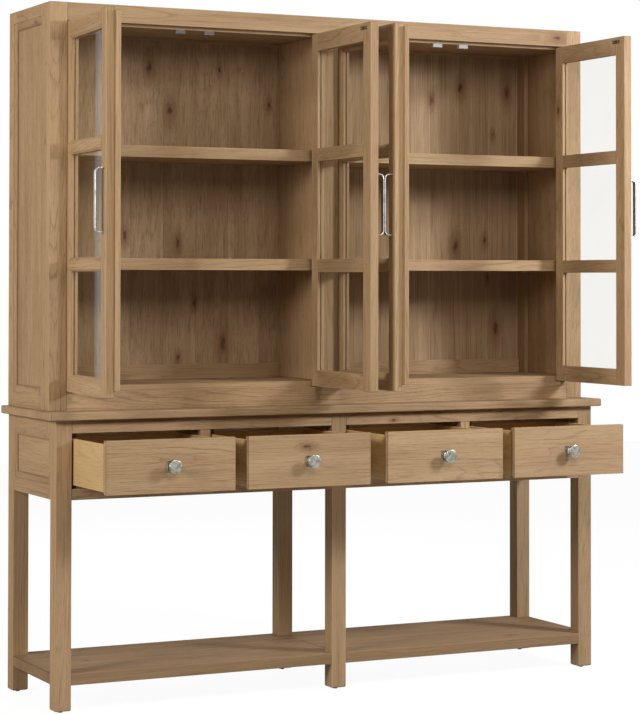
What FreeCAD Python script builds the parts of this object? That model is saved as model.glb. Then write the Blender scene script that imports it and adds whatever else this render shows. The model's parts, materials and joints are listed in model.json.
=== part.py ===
import FreeCAD, Part
import os
import re
import Sketcher

# Display sideboard: a glazed four-door hutch standing on a four-drawer console with an open
# bottom shelf. Millimetres. X to the right, front towards -Y, Z up, origin on the floor under the
# middle of the front centre leg. Doors and drawers stand open as the object is shown.

os.makedirs("parts", exist_ok=True)
doc = FreeCAD.newDocument("DisplaySideboard")
sheet = doc.addObject("Spreadsheet::Sheet", "Sizes")

DRIVING = [
    ("console_width", 1950, "outside of the legs, left to right"),
    ("console_depth", 458, "outside of the legs, front to rear"),
    ("console_height", 925.5, "floor to upper face of the console top"),
    ("top_overhang", 25, "console top past the legs at the front and the sides"),
    ("top_thick", 26, "console top"),
    ("leg_side", 52, "square leg"),
    ("foot_ease", 3, "chamfer round the foot of a leg"),
    ("glide_height", 5.5, "floor to the foot of a leg"),
    ("glide_dia", 14, "glide under a leg"),
    ("upper_rail_height", 40, "front rail over the drawers"),
    ("drawer_opening_height", 171, "between the front rails"),
    ("lower_rail_height", 35, "front rail under the drawers"),
    ("rail_thick", 28, "front rails of the console, front to rear"),
    ("divider_width", 34, "upright between two drawers"),
    ("apron_thick", 24, "side and rear aprons"),
    ("rear_apron_drop", 6, "rear apron, further down than the front rails"),
    ("apron_stile_flat", 9, "side apron, leg to moulding"),
    ("apron_rail_flat", 45, "side apron, top or lower edge to moulding"),
    ("apron_moulding_width", 14, "sloped moulding round the side apron panel"),
    ("moulding_band", 4, "flat band between a frame and its sloped moulding"),
    ("moulding_step", 2.5, "step from a frame down to the band, and from the slope to the panel"),
    ("moulding_depth", 7, "how far a side panel lies behind its frame"),
    ("panel_thick", 8, "side panels"),
    ("panel_tongue", 8, "side panel inside its groove"),
    ("panel_play", 1, "side panel edge to the foot of its groove"),
    ("shelf_top", 119.5, "floor to the upper face of the bottom shelf"),
    ("shelf_thick", 35.5, "bottom shelf"),
    ("runner_height", 35, "strip a drawer side slides on"),
    ("runner_rise", 11, "top of the runners over the lower rail"),
    ("runner_reach", 24, "runner under a drawer side, into the opening"),
    ("guide_height", 22, "guide beside the drawer side"),
    ("guide_play", 1, "between a guide and a drawer side"),
    ("kicker_play", 2, "between a drawer side and the kicker over it"),
    ("drawer_gap", 4.2, "between a closed drawer front and the openings round it"),
    ("drawer_lower_gap", 2.5, "under a closed drawer front"),
    ("drawer_front_thick", 20, "drawer front"),
    ("drawer_side_inset", 6, "opening edge to the outer face of the drawer box"),
    ("drawer_side_height", 142, "drawer box side"),
    ("drawer_side_thick", 14, "drawer box side"),
    ("drawer_back_thick", 12, "drawer box back"),
    ("drawer_box_length", 395, "drawer box behind its front"),
    ("drawer_bottom_thick", 6, "drawer bottom"),
    ("drawer_bottom_rise", 8, "drawer bottom over the lower edge of the sides"),
    ("drawer_bottom_tongue", 5, "drawer bottom inside its groove"),
    ("drawer_pull", 283, "how far the drawers are pulled out as shown"),
    ("knob_plate_side", 34, "square plate behind a knob"),
    ("knob_plate_thick", 3, "plate behind a knob"),
    ("knob_dia", 43, "knob disc"),
    ("knob_thick", 9, "knob disc"),
    ("knob_reach", 31, "drawer front to the middle of the knob disc"),
    ("knob_neck_dia", 14, "neck of a knob"),
    ("knob_foot_dia", 24, "foot of a knob"),
    ("knob_foot_thick", 3, "foot of a knob"),
    ("cabinet_width", 1953, "hutch, left to right"),
    ("cabinet_front", 163, "front face of the hutch, in front of the middle"),
    ("cabinet_height", 1277, "console top to the top of the hutch"),
    ("frame_thick", 28, "face frame of the hutch"),
    ("face_stile_width", 58.5, "outer stiles of the face frame"),
    ("centre_stile_width", 56, "middle stile of the face frame"),
    ("face_rail_low", 57, "lower rail of the face frame"),
    ("face_rail_high", 56, "upper rail of the face frame"),
    ("floor_rise", 19, "bottom board over the lower rail"),
    ("floor_thick", 22, "bottom board of the hutch"),
    ("board_play", 2, "bottom board and stop strips to the closed doors"),
    ("stop_drop", 9, "door stop strip under the upper rail"),
    ("stop_depth", 20, "door stop strip, front to rear"),
    ("cheek_thick", 31, "sides of the hutch"),
    ("cheek_stile_front", 41, "side of the hutch, face frame to moulding"),
    ("cheek_stile_rear", 45, "side of the hutch, moulding to the rear edge"),
    ("cheek_rail_low", 44, "side of the hutch, lower edge to moulding"),
    ("cheek_rail_high", 38, "side of the hutch, moulding to the top"),
    ("cheek_moulding_width", 20, "sloped moulding round a hutch side panel"),
    ("cheek_moulding_depth", 8, "how far a hutch side panel lies behind its frame"),
    ("back_thick", 10, "back panels"),
    ("back_inset", 8, "rear edge of the sides to the back panels"),
    ("back_rail_height", 48, "rail along the foot of the back panels"),
    ("back_rail_thick", 12, "rails along the foot and the head of the back panels"),
    ("head_rail_height", 9, "rail along the head of the back panels"),
    ("partition_thick", 24, "upright in the middle of the hutch"),
    ("shelf_board_thick", 37, "shelves in the hutch"),
    ("shelf_low_top", 1402.5, "floor to the upper face of the lower shelves"),
    ("shelf_high_top", 1763.5, "floor to the upper face of the upper shelves"),
    ("shelf_setback", 20, "face frame to the front edge of the shelves"),
    ("shelf_rear_play", 1, "shelf to the back panel"),
    ("shelf_side_play", 1, "shelf end to the side next to it"),
    ("rest_width", 14, "shelf rest, front to rear"),
    ("rest_height", 5, "shelf rest"),
    ("rest_reach", 12, "shelf rest, under the shelf"),
    ("rest_inset", 45, "shelf rest to the front or rear edge of its shelf"),
    ("leaf_thick", 28, "doors"),
    ("leaf_gap", 2.5, "round a closed door"),
    ("leaf_stile_width", 52, "door stile"),
    ("leaf_rail_high", 57.5, "door top rail"),
    ("leaf_rail_low", 53.5, "door bottom rail"),
    ("bar_height", 43, "glazing bars"),
    ("bar_low_middle", 1381, "floor to the middle of the lower glazing bar"),
    ("bar_high_middle", 1744.5, "floor to the middle of the upper glazing bar"),
    ("leaf_moulding_width", 7, "slope round a pane"),
    ("leaf_moulding_depth", 7, "slope round a pane"),
    ("glass_thick", 4, "panes"),
    ("glass_setback", 9.5, "inner face of a door to the glass"),
    ("glass_tongue", 5, "glass inside its groove"),
    ("glass_play", 1, "glass edge to the foot of its groove"),
    ("hinge_round", 10, "round-over of a door's hinge edge"),
    ("leaf_ease", 1.5, "softened free edge of a door"),
    ("batten_thick", 14, "strip behind the meeting edges"),
    ("batten_lap", 13, "strip past the free edge of its door"),
    ("batten_seat", 22, "strip on the stile of its door"),
    ("batten_relief", 0.5, "strip behind the other door of the pair"),
    ("batten_foot", 20.5, "foot of the door to the strip"),
    ("batten_head", 10.5, "strip to the head of the door"),
    ("pivot_inset", 13.5, "hinge edge of a door to its pivot"),
    ("pivot_pin_dia", 8, "pivot pin"),
    ("pivot_pin_reach", 12, "pivot pin inside the face frame"),
    ("pivot_play", 0.05, "pivot pin to its bore, all round"),
    ("pivot_disc_dia", 22, "pivot disc on the end of a door"),
    ("pivot_rest", 0.3, "pivot disc to the rail next to it"),
    ("door_one_angle", 94.0, "how far door 1 stands open"),
    ("door_two_angle", 89.0, "how far door 2 stands open"),
    ("door_three_angle", 91.1, "how far door 3 stands open"),
    ("door_four_angle", 89.1, "how far door 4 stands open"),
    ("handle_height", 196, "bow handle, top to bottom"),
    ("handle_reach", 26.4, "door face to the middle of the strap"),
    ("handle_thick", 4.4, "strap of a bow handle"),
    ("handle_width", 16, "strap of a bow handle"),
    ("handle_bend", 17, "outer corner of a bow handle"),
    ("handle_inset", 23.5, "free edge of a door to its handle"),
    ("handle_middle", 1571.2, "floor to the middle of the handles"),
    ("strike_width", 40, "strike plate"),
    ("strike_height", 10.5, "strike plate"),
    ("strike_thick", 1.5, "strike plate"),
    ("strike_inset", 49, "free edge of a door to the middle of its strike plate"),
    ("catch_width", 34, "magnetic catch"),
    ("catch_height", 12, "magnetic catch"),
    ("catch_depth", 16, "magnetic catch"),
    ("catch_play", 0.5, "catch to the strike plate of a closed door"),
    ("edge_ease", 4.5, "rounded edges of the console top"),
    ("small_ease", 1.2, "softened edges of drawer fronts"),
]
DERIVED = [
    ("leg_out_x", "console_width / 2"),
    ("leg_in_x", "console_width / 2 - leg_side"),
    ("leg_out_y", "console_depth / 2"),
    ("leg_in_y", "console_depth / 2 - leg_side"),
    ("leg_half", "leg_side / 2"),
    ("origin_shift", "console_depth / 2 - leg_half"),
    ("top_under", "console_height - top_thick"),
    ("opening_top", "console_height - top_thick - upper_rail_height"),
    ("opening_low", "opening_top - drawer_opening_height"),
    ("rail_low", "opening_low - lower_rail_height"),
    ("rail_back", "-leg_out_y + rail_thick"),
    ("opening_width", "(leg_in_x - leg_half - divider_width) / 2"),
    ("divider_x", "leg_half + opening_width + divider_width / 2"),
    ("apron_in_y", "leg_out_y - apron_thick"),
    ("runner_top", "opening_low + runner_rise"),
    ("kicker_low", "runner_top + drawer_side_height + kicker_play"),
    ("drawer_half", "opening_width / 2 - drawer_gap"),
    ("drawer_low", "opening_low + drawer_lower_gap"),
    ("drawer_high", "opening_top - drawer_gap - drawer_lower_gap * share_of_gap_on_top"),
    ("box_half", "opening_width / 2 - drawer_side_inset"),
    ("box_end", "drawer_front_thick + drawer_box_length"),
    ("guide_reach", "drawer_side_inset - guide_play"),
    ("bottom_low", "runner_top + drawer_bottom_rise"),
    ("knob_z", "(drawer_low + drawer_high) / 2"),
    ("cab_out_x", "cabinet_width / 2"),
    ("cab_in_x", "cabinet_width / 2 - cheek_thick"),
    ("cab_top", "console_height + cabinet_height"),
    ("frame_back", "-cabinet_front + frame_thick"),
    ("stile_in_x", "cab_out_x - face_stile_width"),
    ("mid_half", "centre_stile_width / 2"),
    ("frame_low", "console_height + face_rail_low"),
    ("frame_high", "cab_top - face_rail_high"),
    ("floor_top", "frame_low + floor_rise"),
    ("ceiling_low", "cab_top - face_rail_high - small_drop"),
    ("small_drop", "stop_drop * drop_share"),
    ("back_front_y", "leg_out_y - back_inset - back_thick"),
    ("part_half", "partition_thick / 2"),
    ("shelf_front_y", "frame_back + shelf_setback"),
    ("shelf_rear_y", "back_front_y - shelf_rear_play"),
    ("bay_width", "stile_in_x - mid_half"),
    ("bay_middle", "(stile_in_x + mid_half) / 2"),
    ("leaf_width", "(bay_width - 2 * leaf_gap - leaf_gap * meeting_share) / 2"),
    ("leaf_low", "frame_low + leaf_gap"),
    ("leaf_high", "frame_high - leaf_gap"),
    ("leaf_half", "leaf_thick / 2"),
    ("leaf_free", "leaf_width - pivot_inset"),
    ("pivot_y", "-cabinet_front + leaf_half"),
    ("pivot_out_x", "stile_in_x - leaf_gap - pivot_inset"),
    ("pivot_mid_x", "mid_half + leaf_gap + pivot_inset"),
    ("pane_in", "leaf_stile_width - pivot_inset"),
    ("pane_out", "leaf_free - leaf_stile_width"),
    ("glass_y", "leaf_half - glass_setback - glass_thick"),
    ("catch_low", "frame_high - stop_drop - catch_height"),
    ("catch_x", "leaf_gap * meeting_share / 2 + strike_inset"),
]
SHARES = [
    ("share_of_gap_on_top", 0.6, "share of the lower gap added over a drawer front"),
    ("drop_share", 0.2, "share of the stop drop that the top board hangs"),
    ("meeting_share", 1, "share of the door gap left between a pair"),
]
NAMES = {row[0] for row in DRIVING + SHARES} | {row[0] for row in DERIVED}
WORD = re.compile(r"[A-Za-z_]+")


def formula(text):
    """Point every size name in a formula at the sheet."""
    def swap(found):
        word = found.group(0)
        return "Sizes." + word if word in NAMES else word
    return WORD.sub(swap, str(text))


row_number = 0
for alias, value, note in DRIVING + SHARES:
    row_number += 1
    sheet.set("A%d" % row_number, alias)
    sheet.set("B%d" % row_number, str(value))
    sheet.set("C%d" % row_number, note)
    sheet.setAlias("B%d" % row_number, alias)
for alias, text in DERIVED:
    row_number += 1
    sheet.set("A%d" % row_number, alias)
    sheet.setAlias("B%d" % row_number, alias)
for offset, (alias, text) in enumerate(DERIVED):
    sheet.set("B%d" % (row_number - len(DERIVED) + 1 + offset), "=" + text)
doc.recompute()


def bind(thing, prop, text):
    thing.setExpression(prop, formula(text))


def put(thing, x=0, y=0, z=0):
    """Bind where an object stands."""
    for letter, text in (("x", x), ("y", y), ("z", z)):
        bind(thing, ".Placement.Base." + letter, text)


def span(low, high):
    return "(%s) - (%s)" % (high, low)


def flip(pair, side):
    """A span, or the same span mirrored when side is -1."""
    low, high = pair
    return pair if side > 0 else ("-(%s)" % high, "-(%s)" % low)


def block(name, x, y, z):
    """A board between two planes in each direction."""
    box = doc.addObject("Part::Box", name)
    bind(box, "Length", span(*x))
    bind(box, "Width", span(*y))
    bind(box, "Height", span(*z))
    put(box, x[0], y[0], z[0])
    return box


def rod(name, radius, length, x, y, z):
    """An upright round piece."""
    bar = doc.addObject("Part::Cylinder", name)
    bind(bar, "Radius", radius)
    bind(bar, "Height", length)
    put(bar, x, y, z)
    return bar


def frustum(name, x, y, z, big, slope, depth, side):
    """Tool for a sloped moulding: wide on the face at big, narrowing inwards over depth."""
    wedge = doc.addObject("Part::Wedge", name)
    quarter = FreeCAD.Rotation(FreeCAD.Vector(0, 0, 1), -90 * side) if side else FreeCAD.Rotation()
    wedge.Placement = FreeCAD.Placement(FreeCAD.Vector(), quarter)
    wide, tall = (span(*y), span(*z)) if side else (span(*x), span(*z))
    for prop, text in (("Xmin", 0), ("Ymin", 0), ("Zmin", 0), ("X2min", slope), ("Z2min", slope),
                       ("Xmax", wide), ("Ymax", depth), ("Zmax", tall),
                       ("X2max", "(%s) - %s" % (wide, slope)),
                       ("Z2max", "(%s) - %s" % (tall, slope))):
        bind(wedge, prop, text)
    if side:
        put(wedge, big, y[1] if side > 0 else y[0], z[0])
    else:
        put(wedge, x[0], big, z[0])
    return wedge


def union(name, things):
    if len(things) == 1:
        return things[0]
    whole = doc.addObject("Part::MultiFuse", name)
    whole.Shapes = things
    return whole


def cut(name, base, tools):
    made = doc.addObject("Part::Cut", name)
    made.Base = base
    made.Tool = union(name + "Tools", tools)
    return made


def outline(body, name, plane, points):
    """A closed outline of straight lines, every corner placed by its own two sizes."""
    sketch = body.newObject("Sketcher::SketchObject", name)
    datum = [item for item in body.Origin.OriginFeatures if item.Role == plane][0]
    sketch.AttachmentSupport = [(datum, "")]
    sketch.MapMode = "FlatFace"
    probe = []
    for px, py in points:
        probe.append(FreeCAD.Vector(value_of(px), value_of(py), 0))
    count = len(probe)
    for index in range(count):
        sketch.addGeometry(Part.LineSegment(probe[index], probe[(index + 1) % count]), False)
    for index in range(count):
        after = (index + 1) % count
        sketch.addConstraint(Sketcher.Constraint("Coincident", index, 2, after, 1))
    for index, (px, py) in enumerate(points):
        for kind, axis, text, now in (("DistanceX", -2, px, probe[index].x),
                                      ("DistanceY", -1, py, probe[index].y)):
            if str(text) == "0":
                sketch.addConstraint(Sketcher.Constraint("PointOnObject", index, 1, axis))
                continue
            row = sketch.addConstraint(Sketcher.Constraint(kind, -1, 1, index, 1, now))
            label = "%s_%d" % ("across" if kind == "DistanceX" else "along", index)
            sketch.renameConstraint(row, label)
            bind(sketch, "Constraints." + label, text)
    return sketch


def value_of(text):
    """Present value of a formula, for first drawing an outline."""
    return float(sheet.evalExpression(formula(text).replace("Sizes.", "")))


def body_of(name):
    return doc.addObject("PartDesign::Body", name)


def pad(body, name, sketch, length):
    made = body.newObject("PartDesign::Pad", name)
    made.Profile = sketch
    bind(made, "Length", length)
    doc.recompute()
    return made


def edges_where(feature, keep):
    """Names of the straight edges whose middle and direction pass a test."""
    found = []
    for index, edge in enumerate(feature.Shape.Edges):
        if edge.Curve.TypeId != "Part::GeomLine" or len(edge.Vertexes) < 2:
            continue
        way = edge.Vertexes[1].Point - edge.Vertexes[0].Point
        way.normalize()
        if keep(edge.CenterOfMass, way):
            found.append("Edge%d" % (index + 1))
    return found


def soften(body, kind, name, feature, keep, size):
    """Round or chamfer chosen edges of a body."""
    made = body.newObject("PartDesign::" + kind, name)
    made.Base = (feature, edges_where(feature, keep))
    bind(made, "Radius" if kind == "Fillet" else "Size", size)
    doc.recompute()
    return made


def plank(name, x, y, z, steps):
    """A board as a body; steps lists the edge treatments as kind, test and size."""
    body = body_of(name)
    corners = [(0, 0), (span(*x), 0), (span(*x), span(*y)), (0, span(*y))]
    last = pad(body, name + "Pad", outline(body, name + "Sketch", "XY_Plane", corners), span(*z))
    for index, (kind, keep, size) in enumerate(steps):
        last = soften(body, kind, "%sStep%d" % (name, index), last, keep, size)
    put(body, x[0], y[0], z[0])
    return body


NODES = []


def node(label, members):
    """Gather the pieces of one named sub-part."""
    whole = doc.addObject("Part::Compound", label)
    whole.Links = members
    whole.Label = label
    put(whole, 0, "origin_shift", 0)
    NODES.append(whole)
    return whole


def near(first, second):
    return abs(first - second) < abs(value_of("leaf_gap")) / 10


LEFT, RIGHT = -1, 1
BOTH = (LEFT, RIGHT)

# Console legs: three in front, three behind.
legs, glides, leg_tools = [], [], []
LEG_X = [("-leg_out_x", "-leg_in_x"), ("-leg_half", "leg_half"), ("leg_in_x", "leg_out_x")]
LEG_Y = [("-leg_out_y", "-leg_in_y"), ("leg_in_y", "leg_out_y")]
for column, leg_x in enumerate(LEG_X):
    for row, leg_y in enumerate(LEG_Y):
        tag = "%d%d" % (column, row)
        legs.append(plank("Leg" + tag, leg_x, leg_y, ("glide_height", "top_under"),
                          [("Chamfer", lambda mid, way: near(mid.z, 0), "foot_ease")]))
        middle_x = "((%s) + (%s)) / 2" % leg_x
        middle_y = "((%s) + (%s)) / 2" % leg_y
        glides.append(rod("Glide" + tag, "glide_dia / 2", "glide_height", middle_x, middle_y, 0))
        leg_tools.append(block("LegRoom" + tag, leg_x, leg_y, (0, "top_under")))
node("console_legs", legs)
node("leg_glides", glides)
leg_room = union("LegRoom", leg_tools)

# Console top board with rounded edges.
deep = value_of("console_depth + top_overhang")
top = plank("TopBoard", ("-leg_out_x - top_overhang", "leg_out_x + top_overhang"),
            ("-leg_out_y - top_overhang", "leg_out_y"), ("top_under", "console_height"),
            [("Fillet", lambda mid, way: abs(way.z) < 0.5 and mid.y < deep * 0.999, "edge_ease")])
node("console_top", [top])

# Front rails, dividers and aprons.
BAYS = [("-leg_in_x", "-leg_half"), ("leg_half", "leg_in_x")]
FRONT_Y = ("-leg_out_y", "rail_back")
rails = []
for index, bay in enumerate(BAYS):
    rails.append(block("UpperRail%d" % index, bay, FRONT_Y, ("opening_top", "top_under")))
    rails.append(block("LowerRail%d" % index, bay, FRONT_Y, ("rail_low", "opening_low")))
node("console_front_rails", rails)
DIVIDER_X = ("divider_x - divider_width / 2", "divider_x + divider_width / 2")
node("drawer_dividers", [block("Divider%d" % (side + 1), flip(DIVIDER_X, side), FRONT_Y,
                               ("opening_low", "opening_top")) for side in BOTH])
node("rear_aprons", [block("RearApron%d" % index, bay, ("apron_in_y", "leg_out_y"),
                           ("rail_low - rear_apron_drop", "top_under"))
                     for index, bay in enumerate(BAYS)])


def framed_side(tag, side, outer, thick, ys, zs, flats, slope, depth):
    """Two stiles, two rails and a panel in grooves, with a stepped, sloped moulding outside."""
    front_flat, rear_flat, low_flat, high_flat = flats
    x = flip(("%s - %s" % (outer, thick), outer), side)
    band_y = ("%s + %s" % (ys[0], front_flat), "%s - %s" % (ys[1], rear_flat))
    band_z = ("%s + %s" % (zs[0], low_flat), "%s - %s" % (zs[1], high_flat))
    hole_y = ("%s + moulding_band" % band_y[0], "%s - moulding_band" % band_y[1])
    hole_z = ("%s + moulding_band" % band_z[0], "%s - moulding_band" % band_z[1])
    pane_y = ("%s + %s" % (hole_y[0], slope), "%s - %s" % (hole_y[1], slope))
    pane_z = ("%s + %s" % (hole_z[0], slope), "%s - %s" % (hole_z[1], slope))
    face = outer if side > 0 else "-(%s)" % outer
    groove_x = flip(("%s - %s - panel_thick" % (outer, depth), "%s - %s" % (outer, depth)), side)
    grow = "panel_tongue"
    groove = block(tag + "Groove", groove_x,
                   ("%s - %s" % (pane_y[0], grow), "%s + %s" % (pane_y[1], grow)),
                   ("%s - %s" % (pane_z[0], grow), "%s + %s" % (pane_z[1], grow)))
    moulding = frustum(tag + "Moulding", None, hole_y, hole_z, face, slope,
                       "(%s - moulding_step)" % depth, -side)
    band = block(tag + "Band", flip(("%s - moulding_step" % outer, outer), side), band_y, band_z)
    tools = [groove, moulding, band]
    stiles = [cut(tag + "StileFront", block(tag + "SF", x, (ys[0], pane_y[0]), zs), tools),
              cut(tag + "StileRear", block(tag + "SR", x, (pane_y[1], ys[1]), zs), tools)]
    rails_made = [cut(tag + "RailLow", block(tag + "RL", x, pane_y, (zs[0], pane_z[0])), tools),
                  cut(tag + "RailHigh", block(tag + "RH", x, pane_y, (pane_z[1], zs[1])), tools)]
    reach = "(panel_tongue - panel_play)"
    panel = block(tag + "Panel", groove_x,
                  ("%s - %s" % (pane_y[0], reach), "%s + %s" % (pane_y[1], reach)),
                  ("%s - %s" % (pane_z[0], reach), "%s + %s" % (pane_z[1], reach)))
    return stiles, rails_made, panel


apron_frames, apron_panels = [], []
for side in BOTH:
    flats = ("apron_stile_flat", "apron_stile_flat", "apron_rail_flat", "apron_rail_flat")
    upright, across, panel = framed_side("Apron%d" % (side + 1), side, "leg_out_x", "apron_thick",
                                         ("-leg_in_y", "leg_in_y"), ("rail_low", "top_under"),
                                         flats, "apron_moulding_width", "moulding_depth")
    apron_frames += upright + across
    apron_panels.append(panel)
node("side_apron_frames", apron_frames)
node("side_apron_panels", apron_panels)

# Drawer runners with guides over them and kickers that stop a pulled drawer from tipping.
slides = []
RUN_Y = ("rail_back", "apron_in_y")
for side in BOTH:
    places = [("Outer", ("leg_in_x - runner_reach", "leg_out_x - apron_thick"),
               ("leg_in_x - guide_reach", "leg_out_x - apron_thick")),
              ("Inner", ("divider_x - divider_width / 2 - runner_reach",
                         "divider_x + divider_width / 2 + runner_reach"),
               ("divider_x - divider_width / 2 - guide_reach",
                "divider_x + divider_width / 2 + guide_reach"))]
    for word, wide, slim in places:
        tag = word + str(side + 1)
        slides.append(cut("Runner" + tag, block("RunnerBar" + tag, flip(wide, side), RUN_Y,
                      ("runner_top - runner_height", "runner_top")), [leg_room]))
        slides.append(cut("Guide" + tag, block("GuideBar" + tag, flip(slim, side), RUN_Y,
                      ("runner_top", "runner_top + guide_height")), [leg_room]))
        slides.append(cut("Kicker" + tag, block("KickerBar" + tag, flip(wide, side), RUN_Y,
                      ("kicker_low", "top_under")), [leg_room]))
wide = ("-leg_half - runner_reach", "leg_half + runner_reach")
slim = ("-leg_half - guide_reach", "leg_half + guide_reach")
slides.append(cut("RunnerMid", block("RunnerBarMid", wide, RUN_Y,
              ("runner_top - runner_height", "runner_top")), [leg_room]))
slides.append(cut("GuideMid", block("GuideBarMid", slim, RUN_Y,
              ("runner_top", "runner_top + guide_height")), [leg_room]))
slides.append(cut("KickerMid", block("KickerBarMid", wide, RUN_Y,
              ("kicker_low", "top_under")), [leg_room]))
node("drawer_runners", slides)

# Bottom shelf in two boards, notched round the legs.
SHELF_Z = ("shelf_top - shelf_thick", "shelf_top")
node("bottom_shelf", [cut("BottomShelf%d" % (side + 1),
                          block("BottomBoard%d" % (side + 1), flip((0, "leg_out_x"), side),
                                ("-leg_out_y", "leg_out_y"), SHELF_Z), [leg_room])
                      for side in BOTH])

# Drawers: a front, a box open at the top, a bottom in grooves and a knob.
CENTRES = ["-divider_x - (opening_width + divider_width) / 2",
           "-leg_half - opening_width / 2", "leg_half + opening_width / 2",
           "divider_x + (opening_width + divider_width) / 2"]
FRONT_STEPS = [("Chamfer", lambda mid, way: near(mid.y, 0), "small_ease")]


def pull(part, centre):
    put(part, centre, "origin_shift - leg_out_y - drawer_pull", 0)


def knob(tag):
    """A disc on a neck and a foot, turned about the pull direction."""
    body = body_of("KnobTurned" + tag)
    foot, neck, rim = "knob_foot_dia / 2", "knob_neck_dia / 2", "knob_dia / 2"
    half = "knob_thick / 2"
    start = "-knob_plate_thick"
    step = "-knob_plate_thick - knob_foot_thick"
    profile = [(0, start), (foot, start), (foot, step), (neck, step),
               (neck, "-knob_reach + %s" % half), (rim, "-knob_reach + %s" % half),
               (rim, "-knob_reach - %s" % half), (0, "-knob_reach - %s" % half)]
    sketch = outline(body, "KnobSketch" + tag, "XY_Plane", profile)
    turned = body.newObject("PartDesign::Revolution", "KnobTurn" + tag)
    turned.Profile = sketch
    turned.ReferenceAxis = (sketch, ["V_Axis"])
    turned.Angle = 360
    doc.recompute()
    put(body, 0, 0, "knob_z")
    plate_z = ("knob_z - knob_plate_side / 2", "knob_z + knob_plate_side / 2")
    plate = plank("KnobPlate" + tag, ("-knob_plate_side / 2", "knob_plate_side / 2"),
                  ("-knob_plate_thick", 0), plate_z,
                  [("Chamfer", lambda mid, way: near(mid.y, 0), "knob_plate_thick / 3")])
    whole = doc.addObject("Part::MultiFuse", "KnobWhole" + tag)
    whole.Shapes = [body, plate]
    return whole


for number, centre in enumerate(CENTRES, 1):
    tag = str(number)
    tongue = "(drawer_side_thick - drawer_bottom_tongue)"
    groove = block("BottomGroove" + tag, ("-box_half + %s" % tongue, "box_half - %s" % tongue),
                   ("drawer_front_thick - drawer_bottom_tongue", "box_end"),
                   ("bottom_low", "bottom_low + drawer_bottom_thick"))
    front = plank("FrontBoard" + tag, ("-drawer_half", "drawer_half"), (0, "drawer_front_thick"),
                  ("drawer_low", "drawer_high"), FRONT_STEPS)
    pull(node("drawer_%d_front" % number, [cut("Front" + tag, front, [groove])]), centre)
    pieces = []
    for side in BOTH:
        mark = tag + str(side + 1)
        board = block("SideBoard" + mark,
                      flip(("box_half - drawer_side_thick", "box_half"), side),
                      ("drawer_front_thick", "box_end"),
                      ("runner_top", "runner_top + drawer_side_height"))
        pieces.append(cut("DrawerSide" + mark, board, [groove]))
    pieces.append(block("DrawerBack" + tag, ("-box_half + drawer_side_thick",
                                             "box_half - drawer_side_thick"),
                        ("box_end - drawer_back_thick", "box_end"),
                        ("bottom_low + drawer_bottom_thick", "runner_top + drawer_side_height")))
    pull(node("drawer_%d_box" % number, pieces), centre)
    bottom = block("DrawerBottom" + tag, ("-box_half + %s" % tongue, "box_half - %s" % tongue),
                   ("drawer_front_thick - drawer_bottom_tongue", "box_end"),
                   ("bottom_low", "bottom_low + drawer_bottom_thick"))
    pull(node("drawer_%d_bottom" % number, [bottom]), centre)
    pull(node("drawer_%d_knob" % number, [knob(tag)]), centre)

# Hutch: face frame with bores for the door pivots.
FACE_Y = ("-cabinet_front", "frame_back")
HUTCH_Z = ("console_height", "cab_top")
PIVOTS = ["-pivot_out_x", "-pivot_mid_x", "pivot_mid_x", "pivot_out_x"]
bores = []
for index, place in enumerate(PIVOTS):
    for word, low in (("Low", "frame_low - pivot_pin_reach - pivot_rest"), ("High", "frame_high")):
        bores.append(rod("Bore%s%d" % (word, index), "pivot_pin_dia / 2 + pivot_play",
                         "pivot_pin_reach + pivot_rest", place, "pivot_y", low))
bore_room = union("BoreRoom", bores)
INNER_Z = ("frame_low", "frame_high")
OUTER_X = ("stile_in_x", "cab_out_x")
face_stiles = [block("FaceStile%d" % (side + 1), flip(OUTER_X, side), FACE_Y, HUTCH_Z)
               for side in BOTH]
face_stiles.append(block("FaceStileMid", ("-mid_half", "mid_half"), FACE_Y, INNER_Z))
node("hutch_face_stiles", face_stiles)
RAIL_X = ("-stile_in_x", "stile_in_x")
node("hutch_face_rails", [
    cut("FaceRailLow", block("FaceRailLowBar", RAIL_X, FACE_Y, ("console_height", "frame_low")),
        [bore_room]),
    cut("FaceRailHigh", block("FaceRailHighBar", RAIL_X, FACE_Y, ("frame_high", "cab_top")),
        [bore_room])])

cheek_stiles, cheek_rails, cheek_panels = [], [], []
for side in BOTH:
    flats = ("cheek_stile_front", "cheek_stile_rear", "cheek_rail_low", "cheek_rail_high")
    upright, across, panel = framed_side("Cheek%d" % (side + 1), side, "cab_out_x", "cheek_thick",
                                         ("frame_back", "leg_out_y"), HUTCH_Z, flats,
                                         "cheek_moulding_width", "cheek_moulding_depth")
    cheek_stiles += upright
    cheek_rails += across
    cheek_panels.append(panel)
node("hutch_side_stiles", cheek_stiles)
node("hutch_side_rails", cheek_rails)
node("hutch_side_panels", cheek_panels)

INSIDE_X = ("-cab_in_x", "cab_in_x")
BACK_Y = ("back_front_y", "back_front_y + back_thick")
BOARD_Y = ("frame_back", "back_front_y")
floor_board = block("FloorBoard", INSIDE_X, BOARD_Y, ("floor_top - floor_thick", "floor_top"))
lip_room = block("LipRoom", INSIDE_X, ("frame_back", "frame_back + board_play"),
                 ("frame_low", "floor_top"))
node("hutch_bottom_board", [cut("HutchFloor", floor_board, [lip_room])])
node("hutch_top_board", [block("HutchTop", INSIDE_X, BOARD_Y,
                               ("ceiling_low", "cab_top"))])
STRIP_Y = ("frame_back + board_play", "frame_back + stop_depth")
STRIP_Z = ("frame_high - stop_drop", "ceiling_low")
node("door_stops", [block("DoorStop%d" % (side + 1), flip(("part_half", "cab_in_x"), side),
                          STRIP_Y, STRIP_Z) for side in BOTH])
node("hutch_partition", [block("Partition", ("-part_half", "part_half"), BOARD_Y,
                               ("floor_top", "ceiling_low"))])
node("hutch_back_panels", [block("BackPanel%d" % (side + 1), flip((0, "cab_in_x"), side), BACK_Y,
                                 HUTCH_Z) for side in BOTH])
BACK_RAIL_Y = ("back_front_y - back_rail_thick", "back_front_y")
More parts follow.
